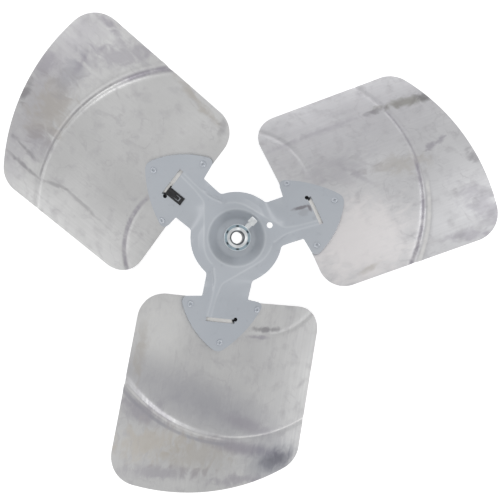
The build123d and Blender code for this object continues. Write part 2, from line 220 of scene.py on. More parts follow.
class Bench:
    """The modelling bench: operators on one object at a time."""

    @staticmethod
    def clear() -> None:
        """Leave edit mode and deselect every object."""
        if bpy.context.object is not None and bpy.context.object.mode != "OBJECT":
            bpy.ops.object.mode_set(mode="OBJECT")
        bpy.ops.object.select_all(action="DESELECT")

    @staticmethod
    def take(piece: Thing) -> None:
        """Make one object the only selected one."""
        Bench.clear()
        piece.select_set(True)
        bpy.context.view_layer.objects.active = piece

    @staticmethod
    def name(piece: Thing, name: str) -> Thing:
        """Name an object and its mesh alike, and return the object."""
        piece.name = name
        piece.data.name = name
        return piece

    @staticmethod
    def start(name: str, primitive: Callable[..., object], **settings: object) -> Thing:
        """Add a primitive mesh by its operator, name it and return it."""
        Bench.clear()
        primitive(**settings)
        return Bench.name(bpy.context.object, name)

    @staticmethod
    @contextmanager
    def edit(piece: Thing, action: str = "SELECT") -> Iterator[None]:
        """Open a piece for editing, and close it again.

        Args:
            piece: the object.
            action: SELECT or DESELECT, for all of it.

        Returns:
            The context of the open piece.
        """
        Bench.take(piece)
        bpy.ops.object.mode_set(mode="EDIT")
        bpy.ops.mesh.select_all(action=action)
        yield
        bpy.ops.object.mode_set(mode="OBJECT")

    @staticmethod
    @contextmanager
    def pick(piece: Thing, kind: str, chosen: Callable[[object], bool]) -> Iterator[None]:
        """Open a piece for editing with only some faces or edges selected.

        Args:
            piece: the object.
            kind: FACE or EDGE.
            chosen: tells whether a face or an edge is wanted.

        Returns:
            The context of the open piece.
        """
        with Bench.edit(piece, "DESELECT"):
            bpy.ops.mesh.select_mode(type=kind)
            mesh = bmesh.from_edit_mesh(piece.data)
            for element in mesh.faces if kind == "FACE" else mesh.edges:
                element.select_set(chosen(element))
            bmesh.update_edit_mesh(piece.data)
            yield
            bpy.ops.mesh.select_mode(type="VERT")

    @staticmethod
    def ring(name: str, points: list[Triple], fill: str) -> Thing:
        """Lay out a closed line of points.

        Args:
            name: the object's name.
            points: the points in millimetres, in order.
            fill: NGON for a face inside the line, NOTHING for the line alone.

        Returns:
            The new object.
        """
        circle = bpy.ops.mesh.primitive_circle_add
        piece = Bench.start(name, circle, vertices=len(points), radius=1.0, fill_type=fill)
        for vertex, point in zip(piece.data.vertices, points):
            vertex.co = point
        piece.data.update()
        return piece

    @staticmethod
    def polygon(name: str, points: list[Point]) -> Thing:
        """Lay out one flat face.

        Args:
            name: the object's name.
            points: the outline in millimetres, counter-clockwise.

        Returns:
            The new object.
        """
        piece = Bench.ring(name, [(point[0], point[1], 0.0) for point in points], "NGON")
        with Bench.edit(piece):
            bpy.ops.mesh.normals_make_consistent(inside=False)
        if piece.data.polygons[0].normal.z < 0:
            piece.data.flip_normals()
        return piece

    @staticmethod
    def score(piece: Thing, stations: Iterable[float], normal: Vector) -> None:
        """Divide a flat sheet along parallel lines.

        Args:
            piece: the sheet.
            stations: distances of the lines from the origin.
            normal: the direction the distances are measured in.
        """
        with Bench.edit(piece):
            for station in stations:
                bpy.ops.mesh.select_all(action="SELECT")
                bpy.ops.mesh.bisect(plane_co=normal * station, plane_no=normal)

    @staticmethod
    def punch(piece: Thing, inside: Callable[[Vector], bool]) -> None:
        """Delete the faces whose middle is inside an opening.

        Args:
            piece: the sheet.
            inside: tells whether a point lies in the opening.
        """
        with Bench.pick(piece, "FACE", lambda face: inside(face.calc_center_median())):
            bpy.ops.mesh.delete(type="FACE")

    @staticmethod
    def press(piece: Thing, height: Callable[[float, float], float]) -> None:
        """Raise each point of a flat sheet to its pressed height.

        Args:
            piece: the sheet.
            height: gives the height over a point.
        """
        for vertex in piece.data.vertices:
            vertex.co.z = height(vertex.co.x, vertex.co.y)
        piece.data.update()

    @staticmethod
    def lathe(name: str, profile: list[Point], steps: int, weld: float = 0.002) -> Thing:
        """Turn a closed profile round the Z axis.

        Args:
            name: the object's name.
            profile: radius and height of each corner, in order round the section.
            steps: facets round the axis.
            weld: points nearer than this become one.

        Returns:
            The new object.
        """
        piece = Bench.ring(name, [(point[0], 0.0, point[1]) for point in profile], "NOTHING")
        with Bench.edit(piece):
            bpy.ops.mesh.spin(steps=steps, angle=2 * math.pi, center=(0, 0, 0), axis=(0, 0, 1))
            bpy.ops.mesh.select_all(action="SELECT")
            bpy.ops.mesh.remove_doubles(threshold=weld)
            bpy.ops.mesh.normals_make_consistent(inside=False)
        return piece

    @staticmethod
    def modify(piece: Thing, kind: str, **settings: object) -> None:
        """Add a modifier and apply it.

        Args:
            piece: the object.
            kind: the modifier's type.
            settings: its properties.
        """
        Bench.take(piece)
        modifier = piece.modifiers.new(kind.lower(), kind)
        for key, value in settings.items():
            setattr(modifier, key, value)
        bpy.ops.object.modifier_apply(modifier=modifier.name)

    @staticmethod
    def carve(piece: Thing, cutters: list[Thing]) -> None:
        """Cut closed solids out of a closed solid and remove the cutters."""
        for cutter in cutters:
            Bench.modify(piece, "BOOLEAN", operation="DIFFERENCE", solver="EXACT", object=cutter)
        for cutter in cutters:
            bpy.data.objects.remove(cutter)

    @staticmethod
    def drill(radius: float, length: float, place: Matrix, facets: int = 40) -> Thing:
        """Make a round cutter along Z of a placed frame and return it."""
        rod = bpy.ops.mesh.primitive_cylinder_add
        cutter = Bench.start("drill", rod, vertices=facets, radius=radius, depth=length)
        cutter.data.transform(place)
        return cutter

    @staticmethod
    def join(pieces: list[Thing], name: str) -> Thing:
        """Join objects into the first, name it and return it."""
        Bench.take(pieces[0])
        for piece in pieces:
            piece.select_set(True)
        bpy.ops.object.join()
        return Bench.name(bpy.context.object, name)

    @staticmethod
    def copy(piece: Thing, name: str, place: Matrix) -> Thing:
        """Copy an object with its own mesh, moved in the mesh.

        Args:
            piece: what to copy.
            name: the copy's name.
            place: the move.

        Returns:
            The copy.
        """
        Bench.take(piece)
        bpy.ops.object.duplicate()
        twin = Bench.name(bpy.context.object, name)
        twin.data.transform(place)
        return twin

    @staticmethod
    def finish(piece: Thing, desk: "NodeDesk", angle: float, slot: Slot, node: str) -> None:
        """Dress a piece, bring it to metres, smooth it and let it stand for its CAD node.

        Args:
            piece: the object, in millimetres.
            desk: its material.
            angle: edges sharper than this many degrees stay sharp.
            slot: the record's material slot; not used.
            node: the CAD node it stands for.
        """
        desk.dress(piece)
        piece.data.transform(Matrix.Scale(MM, 4))
        Bench.take(piece)
        bpy.ops.object.shade_smooth_by_angle(angle=math.radians(angle))
        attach(piece, "root")
        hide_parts(node)
        LOG.info("%s: %d faces", piece.name, len(piece.data.polygons))


@dataclass
class Form:
    """Sizes that the spider and the blades share, and the cylinder that both are pressed to."""

    tip_radius: float = 279.4
    first_arm_angle: float = 20.9
    arm_step: float = 120.0
    pitch_angle: float = 27.5
    camber_radius: float = 454.0
    paddle_drop: float = 8.85
    spider_thickness: float = 2.3
    blade_thickness: float = 1.3
    seat_gap: float = 0.2
    rivet_places: tuple[Point, ...] = ((114.3, 0.0), (76.5, -37.5), (74.7, 36.1))

    def height(self, lateral: float, depth: float = 0.0) -> float:
        """Give the height of the forming cylinder.

        Args:
            lateral: offset across the arm.
            depth: distance below the paddle's front face.

        Returns:
            The height in the row frame.
        """
        pitch = math.radians(self.pitch_angle)
        centre_z = -self.paddle_drop - self.camber_radius * math.cos(pitch)
        across = lateral + self.camber_radius * math.sin(pitch)
        return centre_z + math.sqrt((self.camber_radius - depth) ** 2 - across**2)

    def slope(self, lateral: float) -> float:
        """Angle in radians by which the paddle falls away at an offset across the arm."""
        across = lateral + self.camber_radius * math.sin(math.radians(self.pitch_angle))
        return math.asin(across / self.camber_radius)

    def turn(self, arm: Arm) -> Matrix:
        """Rotation that brings the drawing position to an arm."""
        angle = self.first_arm_angle + arm.value * self.arm_step
        return Matrix.Rotation(math.radians(angle), 4, "Z")

    def seat(self, x: float, lateral: float) -> Matrix:
        """Frame on the paddle's front face at a point, its Z square to the sheet."""
        tilt = Matrix.Rotation(-self.slope(lateral), 4, "X")
        return Matrix.Translation((x, lateral, self.height(lateral))) @ tilt


@dataclass
class NodeDesk:
    """Node tree of one material, with short ways to add and join nodes."""

    name: str
    material: bpy.types.Material = field(init=False)
    shader: bpy.types.Node = field(init=False)
    output: bpy.types.Node = field(init=False)

    def __post_init__(self) -> None:
        """Start from an empty tree with a principled shader."""
        self.material = bpy.data.materials.new(self.name)
        self.material.use_nodes = True
        self.material.node_tree.nodes.clear()
        self.shader = self.add("ShaderNodeBsdfPrincipled")
        self.output = self.add("ShaderNodeOutputMaterial", {"Surface": self.shader.outputs["BSDF"]})

    def feed(self, target: Socket, value: object) -> None:
        """Link a socket to an input, or set the input to a value."""
        if isinstance(value, Socket):
            self.material.node_tree.links.new(value, target)
        else:
            target.default_value = value

    def add(self, kind: str, feeds: Optional[dict] = None, **settings: object) -> bpy.types.Node:
        """Add a node.

        Args:
            kind: the node's type.
            feeds: input name or number to a socket, or to the value it is set to.
            settings: the node's properties.

        Returns:
            The node.
        """
        node = self.material.node_tree.nodes.new(kind)
        for key, value in settings.items():
            setattr(node, key, value)
        for key, value in (feeds or {}).items():
            self.feed(node.inputs[key], value)
        return node

    def give(self, feeds: dict[str, object]) -> None:
        """Feed the shader's inputs by name."""
        for key, value in feeds.items():
            self.feed(self.shader.inputs[key], value)

    def place(self, uv_map: Optional[str] = None) -> Socket:
        """Coordinates of the surface: a UV map by name, or object coordinates."""
        if uv_map is not None:
            return self.add("ShaderNodeUVMap", uv_map=uv_map).outputs["UV"]
        return self.add("ShaderNodeTexCoord").outputs["Object"]

    def noise(
        self, where: Socket, scale: Triple, detail: float = 4.0, shift: float = 0.0, warp: float = 0.0
    ) -> Socket:
        """Noise stretched by a scale in each direction.

        Args:
            where: the coordinates.
            scale: cycles per metre along each axis.
            detail: octaves.
            shift: moves the pattern so that pieces differ.
            warp: how far the pattern is swirled.

        Returns:
            The noise's factor.
        """
        start = (shift, 2 * shift, 3 * shift)
        mapping = self.add("ShaderNodeMapping", {"Vector": where, "Scale": scale, "Location": start})
        feeds = {"Scale": 1.0, "Detail": detail, "Distortion": warp}
        feeds["Vector"] = mapping.outputs["Vector"]
        return self.add("ShaderNodeTexNoise", feeds).outputs["Fac"]

    def remap(self, value: Socket, source: Point, target: Point, smooth: bool = False) -> Socket:
        """Bring a value from one range to another, held at its ends.

        Args:
            value: the value.
            source: the range it comes from.
            target: the range it goes to.
            smooth: eases it in and out at the ends.

        Returns:
            The value in the new range.
        """
        feeds = {"Value": value, "From Min": source[0], "From Max": source[1]}
        feeds.update({"To Min": target[0], "To Max": target[1]})
        kind = "SMOOTHSTEP" if smooth else "LINEAR"
        return self.add("ShaderNodeMapRange", feeds, interpolation_type=kind).outputs["Result"]

    def sum(self, kind: str, *values: object) -> Socket:
        """Combine values, each a socket or a number."""
        return self.add("ShaderNodeMath", dict(enumerate(values)), operation=kind).outputs["Value"]

    def vector(self, kind: str, *values: object) -> bpy.types.Node:
        """Combine vectors, each a socket or three numbers, and return the node."""
        return self.add("ShaderNodeVectorMath", dict(enumerate(values)), operation=kind)

    def reach(self, where: Socket) -> Socket:
        """Distance of a point from the Z axis."""
        flat = self.vector("MULTIPLY", where, (1, 1, 0)).outputs["Vector"]
        return self.vector("LENGTH", flat).outputs["Value"]

    def axis(self, where: Socket, letter: str) -> Socket:
        """One coordinate of a point, by its letter."""
        return self.add("ShaderNodeSeparateXYZ", {"Vector": where}).outputs[letter]

    def tint(self, factor: Socket, first: object, second: object) -> Socket:
        """Mix two colours, each a socket or three numbers, by a factor."""
        node = self.add("ShaderNodeMix", {"Factor": factor}, data_type="RGBA")
        targets = [socket for socket in node.inputs if socket.type == "RGBA"]
        for target, colour in zip(targets, (first, second)):
            self.feed(target, (*colour, 1.0) if isinstance(colour, tuple) else colour)
        return next(socket for socket in node.outputs if socket.type == "RGBA")

    def bump(self, height: Socket, depth: float, strength: float) -> None:
        """Give the shader a bump from a height value.

        Args:
            height: the value.
            depth: height in metres of a full step.
            strength: how much of it shows.
        """
        node = self.add("ShaderNodeBump", {"Height": height, "Distance": depth, "Strength": strength})
        self.give({"Normal": node.outputs["Normal"]})

    def dress(self, piece: Thing) -> None:
        """Put the material on a piece."""
        piece.data.materials.clear()
        piece.data.materials.append(self.material)


@dataclass(frozen=True)
class Stain:
    """A soft-edged mark: an ellipse in millimetres, with a ragged edge."""

    centre: Point
    reach: Point
    turn: float
    colour: Colour
    strength: float
    softness: float = 0.75
    ragged: float = 1.3

    def lay(self, desk: NodeDesk, where: Socket, rag: Socket, under: Socket) -> Socket:
        """Lay the mark over a colour.

        Args:
            desk: the material's nodes.
            where: coordinates in metres.
            rag: noise that tears the edge.
            under: the colour below.

        Returns:
            The colour with the mark on it.
        """
        feeds = {
            "Vector": where,
            "Location": (self.centre[0] * MM, self.centre[1] * MM, 0),
            "Rotation": (0, 0, math.radians(self.turn)),
            "Scale": (self.reach[0] * MM, self.reach[1] * MM, 1),
        }
        mapping = desk.add("ShaderNodeMapping", feeds, vector_type="TEXTURE")
        torn = desk.sum("MULTIPLY_ADD", rag, self.ragged, -self.ragged / 2)
        away = desk.sum("ADD", desk.reach(mapping.outputs["Vector"]), torn)
        edge = (1 - self.softness, 1 + self.softness)
        mask = desk.remap(away, edge, (self.strength, 0.0), smooth=True)
        return desk.tint(mask, under, self.colour)


@dataclass(frozen=True)
class ArcStain:
    """A mark that follows part of a circle, such as painted shade or a painted highlight along a bead;
    sizes in millimetres.
    """

    centre: Point
    radius: float
    width: float
    span: Point
    colour: Colour
    strength: float
    fade: float = 10.0
    core: float = 0.2

    def lay(self, desk: NodeDesk, where: Socket, rag: Socket, under: Socket) -> Socket:
        """Lay the mark over a colour.

        Args:
            desk: the material's nodes.
            where: coordinates in metres.
            rag: noise that breaks the line up.
            under: the colour below.

        Returns:
            The colour with the mark on it.
        """
        centre = (self.centre[0] * MM, self.centre[1] * MM, 0)
        apart = desk.vector("DISTANCE", where, centre).outputs["Value"]
        off = desk.sum("ABSOLUTE", desk.sum("SUBTRACT", apart, self.radius * MM))
        edge = (self.core * self.width * MM, self.width * MM)
        mask = desk.remap(off, edge, (self.strength, 0.0), smooth=True)
        across = desk.axis(where, "Y")
        low, high = self.span
        begun = desk.remap(across, ((low - self.fade) * MM, low * MM), (0.0, 1.0))
        ended = desk.remap(across, (high * MM, (high + self.fade) * MM), (1.0, 0.0))
        mask = desk.sum("MULTIPLY", mask, desk.sum("MULTIPLY", begun, ended))
        mask = desk.sum("MULTIPLY", mask, desk.remap(rag, (0.1, 0.7), (0.45, 1.0)))
        return desk.tint(mask, under, self.colour)


Mark = Stain | ArcStain


@dataclass(frozen=True)
class BladeAluminium:
    """Mill-finish aluminium sheet: brushed along the arm, mottled, with its own stains and with painted
    highlights, a painted reflection and painted shade.
    """

    name: str
    shift: float
    stains_and_light: tuple[Mark, ...]
    pale: Colour = (0.68, 0.68, 0.675)
    dull: Colour = (0.555, 0.555, 0.56)
    spots: Colour = (0.43, 0.42, 0.44)
    metallic: float = 0.85
    vein_width: float = 0.03
    vein_strength: float = 0.34
    grain_depth: float = 0.0001
    grain_strength: float = 0.25

    def make(self) -> NodeDesk:
        """Build the material and return its nodes."""
        desk = NodeDesk(self.name)
        where = desk.place("sheet")
        streak = desk.noise(where, (5.0, 420.0, 1.0), 6.0, self.shift)
        fine = desk.noise(where, (40.0, 1500.0, 1.0), 3.0, self.shift + 7)
        cloud = desk.noise(where, (16.0, 16.0, 1.0), 6.0, self.shift + 3)
        speck = desk.noise(where, (70.0, 70.0, 1.0), 8.0, self.shift + 5)
        rag = desk.noise(where, (70.0, 110.0, 1.0), 9.0, self.shift + 11, 0.9)
        rag = desk.remap(rag, (0.32, 0.68), (0.0, 1.0))
        vein = desk.noise(where, (26.0, 34.0, 1.0), 7.0, self.shift + 17, 0.6)
        vein = desk.sum("ABSOLUTE", desk.sum("SUBTRACT", vein, 0.5))
        vein = desk.remap(vein, (0.0, self.vein_width), (self.vein_strength, 0.0))
        vein = desk.sum("MULTIPLY", vein, desk.remap(rag, (0.3, 0.8), (0.0, 1.0)))
        colour = desk.tint(desk.remap(cloud, (0.3, 0.7), (0.0, 1.0)), self.dull, self.pale)
        colour = desk.tint(desk.remap(streak, (0.35, 0.65), (0.0, 0.35)), colour, self.dull)
        colour = desk.tint(desk.remap(speck, (0.52, 0.72), (0.0, 0.4)), colour, self.spots)
        colour = desk.tint(vein, colour, self.spots)
        # These marks are stains, with painted highlights, a painted reflection and painted shade among
        # them.
        for stain_or_light in self.stains_and_light:
            colour = stain_or_light.lay(desk, where, rag, colour)
        rough = desk.remap(streak, (0.3, 0.7), (0.36, 0.48))
        rough = desk.sum("ADD", rough, desk.remap(speck, (0.45, 0.8), (0.0, 0.14)))
        desk.give({"Base Color": colour, "Roughness": rough, "Metallic": self.metallic})
        desk.bump(desk.sum("ADD", fine, streak), self.grain_depth, self.grain_strength)
        return desk


@dataclass(frozen=True)
class SpiderPaint:
    """Bluish grey paint on pressed steel, a little dusty, scuffed where clips were pushed on, with
    painted highlights along its folds.
    """

    marks: tuple[Stain, ...]
    colour: Colour = (0.457, 0.488, 0.532)
    dusty: Colour = (0.483, 0.512, 0.552)
    specks: Colour = (0.33, 0.35, 0.39)
    fold_highlight: Colour = (0.58, 0.61, 0.645)
    coat: float = 0.35
    coat_roughness: float = 0.16
    peel_depth: float = 0.00004
    peel_strength: float = 0.3

    def make(self) -> NodeDesk:
        """Build the material and return its nodes."""
        desk = NodeDesk("spider_paint")
        where = desk.place()
        cloud = desk.noise(where, (14.0, 14.0, 14.0), 4.0)
        speck = desk.noise(where, (160.0, 160.0, 160.0), 5.0, 4.0)
        peel = desk.noise(where, (900.0, 900.0, 900.0), 2.0, 9.0)
        rag = desk.remap(desk.noise(where, (260.0, 260.0, 260.0), 4.0, 2.0), (0.3, 0.7), (0.0, 1.0))
        colour = desk.tint(desk.remap(cloud, (0.35, 0.65), (0.0, 1.0)), self.colour, self.dusty)
        colour = desk.tint(desk.remap(speck, (0.62, 0.78), (0.0, 0.35)), colour, self.specks)
        # Painted highlight: a paler line along each fold of the sheet, broken up by noise.
        fold = desk.add("ShaderNodeAttribute", attribute_name="fold").outputs["Fac"]
        worn = desk.sum("MULTIPLY", fold, desk.remap(cloud, (0.3, 0.6), (0.35, 0.8)))
        colour = desk.tint(worn, colour, self.fold_highlight)
        for mark in self.marks:
            colour = mark.lay(desk, where, rag, colour)
        desk.give({"Base Color": colour, "Roughness": desk.remap(cloud, (0.3, 0.7), (0.28, 0.36))})
        desk.give({"Coat Weight": self.coat, "Coat Roughness": self.coat_roughness})
        desk.bump(peel, self.peel_depth, self.peel_strength)
        return desk


@dataclass(frozen=True)
class TurnedZinc:
    """Turned steel with a bright, faintly blue zinc plate; fine tool rings round an axis."""

    name: str
    bright: Colour = (0.86, 0.88, 0.89)
    blue: Colour = (0.36, 0.46, 0.52)
    dark: Colour = (0.25, 0.28, 0.31)
    bore_shade: Colour = (0.10, 0.11, 0.12)
    shade_to: float = 0.0
    shade_edge: float = 0.4
    blue_from: float = 10.9
    blue_to: float = 13.4
    blue_edge: float = 0.3
    marks: tuple[Stain, ...] = ()
    marks_above: float = 15.0
    rings: float = 1600.0
    ring_depth: float = 0.00005
    ring_strength: float = 0.35
    metallic: float = 0.85

    def make(self) -> NodeDesk:
        """Build the material and return its nodes."""
        desk = NodeDesk(self.name)
        where = desk.place()
        radius = desk.reach(where)
        feeds = {"W": radius, "Scale": self.rings, "Detail": 3.0}
        ring = desk.add("ShaderNodeTexNoise", feeds, noise_dimensions="1D").outputs["Fac"]
        cloud = desk.noise(where, (180.0, 180.0, 60.0), 5.0)
        near, far, soft = self.blue_from, self.blue_to, self.blue_edge
        inner = desk.remap(radius, ((near - soft) * MM, near * MM), (0.0, 1.0))
        outer = desk.remap(radius, (far * MM, (far + soft) * MM), (1.0, 0.0))
        colour = desk.tint(desk.sum("MULTIPLY", inner, outer), self.bright, self.blue)
        # Painted shade: dark inside the bore's mouth, out to the given radius.
        bore = ((self.shade_to - self.shade_edge) * MM, self.shade_to * MM)
        colour = desk.tint(desk.remap(radius, bore, (1.0, 0.0)), colour, self.bore_shade)
        colour = desk.tint(desk.remap(cloud, (0.5, 0.75), (0.0, 0.5)), colour, self.dark)
        plain = desk.tint(desk.remap(ring, (0.4, 0.7), (0.0, 0.25)), colour, self.dark)
        colour = plain
        # On the hub these marks are painted shade in the punched dents; the height test below keeps them
        # to the top face.
        for mark in self.marks:
            colour = mark.lay(desk, where, cloud, colour)
        above = (self.marks_above * MM, (self.marks_above + 1) * MM)
        colour = desk.tint(desk.remap(desk.axis(where, "Z"), above, (0.0, 1.0)), plain, colour)
        rough = desk.remap(cloud, (0.3, 0.7), (0.34, 0.48))
        desk.give({"Base Color": colour, "Roughness": rough, "Metallic": self.metallic})
        desk.bump(ring, self.ring_depth, self.ring_strength)
        return desk


@dataclass(frozen=True)
class DullSteel:
    """Small steel parts: a base colour broken up by fine noise."""

    name: str
    colour: Colour
    worn: Colour
    metallic: float
    roughness: Point
    grain_depth: float = 0.00004
    grain_strength: float = 0.3

    def make(self) -> NodeDesk:
        """Build the material and return its nodes."""
        desk = NodeDesk(self.name)
        cloud = desk.noise(desk.place(), (420.0, 420.0, 420.0), 5.0)
        colour = desk.tint(desk.remap(cloud, (0.4, 0.7), (0.0, 1.0)), self.colour, self.worn)
        rough = desk.remap(cloud, (0.3, 0.7), self.roughness)
        desk.give({"Base Color": colour, "Roughness": rough, "Metallic": self.metallic})
        desk.bump(cloud, self.grain_depth, self.grain_strength)
        return desk


@dataclass
class Blade:
    """One sheet blade: outline, camber and its two stiffening beads."""

    form: Form
    tip_trim: float = 0.5
    leading_root: float = 88.0
    leading_tip: float = 94.0
    trailing: float = 118.5
    root_leading_x: float = 69.5
    root_trailing_x: float = 66.0
    root_corner_leading: float = 27.0
    root_corner_trailing: float = 30.0
    tip_corner_leading: float = 34.0
    tip_corner_trailing: float = 24.0
    outer_radius: float = 180.0
    outer_reach: float = 221.0
    outer_offset: float = 40.0
    outer_width: Point = (12.0, 7.0)
    outer_depth: float = 2.4
    inner_radius: float = 77.0
    inner_reach: float = 103.0
    inner_offset: float = 45.0
    inner_width: float = 7.5
    inner_depth: float = 1.7
    inner_start: float = 25.0
    inner_fade: float = 22.0
    pitch_along: float = 1.5
    pitch_across: float = 3.0
    back_shift: float = 1000.0
    corner_steps: int = 12
    tip_steps: int = 40
    solve_rounds: int = 12
    smooth_angle: float = 40.0

    def leading_line(self, x: float) -> float:
        """Offset of the leading edge at a distance out along the arm."""
        run = self.form.tip_radius - self.root_leading_x
        share = (x - self.root_leading_x) / run
        return -(self.leading_root * (1 - share) + self.leading_tip * share)

    def tip_corner(self, radius: float, edge: Callable[[float], float], side: int) -> list[Point]:
        """Arc that joins a long edge and the tip circle.

        Args:
            radius: the corner's radius.
            edge: gives the edge's offset at a distance out.
            side: 1 for the edge of positive offset, -1 for the other.

        Returns:
            Points from the edge to the tip circle.
        """
        inner = self.form.tip_radius - self.tip_trim - radius
        x = inner
        lateral = 0.0
        for _ in range(self.solve_rounds):
            lateral = edge(x) - side * radius
            x = math.sqrt(inner**2 - lateral**2)
        end = math.atan2(lateral, x)
        return arc((x, lateral), (radius, radius), side * math.pi / 2, end, self.corner_steps)

    def outline(self) -> list[Point]:
        """The trimmed edge of the sheet, counter-clockwise."""
        leading = self.tip_corner(self.tip_corner_leading, self.leading_line, -1)
        trailing = self.tip_corner(self.tip_corner_trailing, lambda x: self.trailing, 1)
        first = math.atan2(leading[-1][1], leading[-1][0])
        last = math.atan2(trailing[-1][1], trailing[-1][0])
        points = [(self.root_leading_x, -self.leading_root)] + leading
        reach = self.form.tip_radius - self.tip_trim
        points += arc(ORIGIN, (reach, reach), first, last, self.tip_steps)[1:-1]
        points += trailing[::-1]
        points.append((self.root_trailing_x, self.trailing))
        corners = {0: self.root_corner_leading, len(points) - 1: self.root_corner_trailing}
        return round_corners(points, corners, self.corner_steps)

    def bead(self, x: float, middle: float, half: float) -> float:
        """Share of a bead's depth at a distance from its middle."""
        share = min(abs(x - middle) / half, 1.0)
        return 0.5 + 0.5 * math.cos(math.pi * share)

    def height(self, x: float, lateral: float) -> float:
        """Give the height of the blade's front face.

        Args:
            x: distance out along the arm.
            lateral: offset across it.

        Returns:
            The height.
        """
        level = self.form.height(lateral, self.form.spider_thickness + self.form.seat_gap)
        drop = math.sqrt(self.outer_radius**2 - (lateral - self.outer_offset) ** 2)
        across = (lateral + self.leading_tip) / (self.leading_tip + self.trailing)
        width = self.outer_width[0] * (1 - across) + self.outer_width[1] * across
        half = width / 2 * math.hypot(1, (lateral - self.outer_offset) / drop)
        level -= self.outer_depth * self.bead(x, self.outer_reach - self.outer_radius + drop, half)
        held = max(lateral, self.inner_offset) - self.inner_offset
        drop = math.sqrt(max(self.inner_radius**2 - held**2, 1.0))
        half = self.inner_width / 2 * math.hypot(1, held / drop)
        share = smooth_step(lateral, self.inner_start, self.inner_start + self.inner_fade)
        bead = self.bead(x, self.inner_reach - self.inner_radius + drop, half)
        return level - self.inner_depth * share * bead

    def build(self) -> Thing:
        """Model the blade in the drawing position and return it."""
        sheet = Bench.polygon("blade_sheet", self.outline())
        along = spread(self.root_trailing_x, self.form.tip_radius, self.pitch_along)
        across = spread(-self.leading_tip, self.trailing, self.pitch_across)
        Bench.score(sheet, along, Vector((1, 0, 0)))
        Bench.score(sheet, across, Vector((0, 1, 0)))
        chart = sheet.data.uv_layers.new(name="sheet")
        for loop in sheet.data.loops:
            place = sheet.data.vertices[loop.vertex_index].co
            chart.data[loop.index].uv = (place.x * MM, place.y * MM)
        Bench.press(sheet, self.height)
        gauge = self.form.blade_thickness
        Bench.modify(sheet, "SOLIDIFY", thickness=gauge, offset=-1.0, use_even_offset=True)
        self.part_back(sheet)
        return sheet

    def part_back(self, sheet: Thing) -> None:
        """Move the back's chart away, so that the marks of the front stay off it."""
        chart = sheet.data.uv_layers["sheet"]
        for polygon in sheet.data.polygons:
            if polygon.normal.z < 0:
                for index in polygon.loop_indices:
                    chart.data[index].uv.x += self.back_shift * MM

    def set_up(self, finishes: dict[Arm, BladeAluminium]) -> None:
        """Place one blade on each arm and dress it.

        Args:
            finishes: the aluminium of each arm's blade.
        """
        sheet = self.build()
        for arm, finish in finishes.items():
            node = f"blade_{arm.name.lower()}"
            blade = Bench.copy(sheet, f"{node}_sheet", self.form.turn(arm))
            Bench.finish(blade, finish.make(), self.smooth_angle, Slot.BLADE, node)
        bpy.data.objects.remove(sheet)


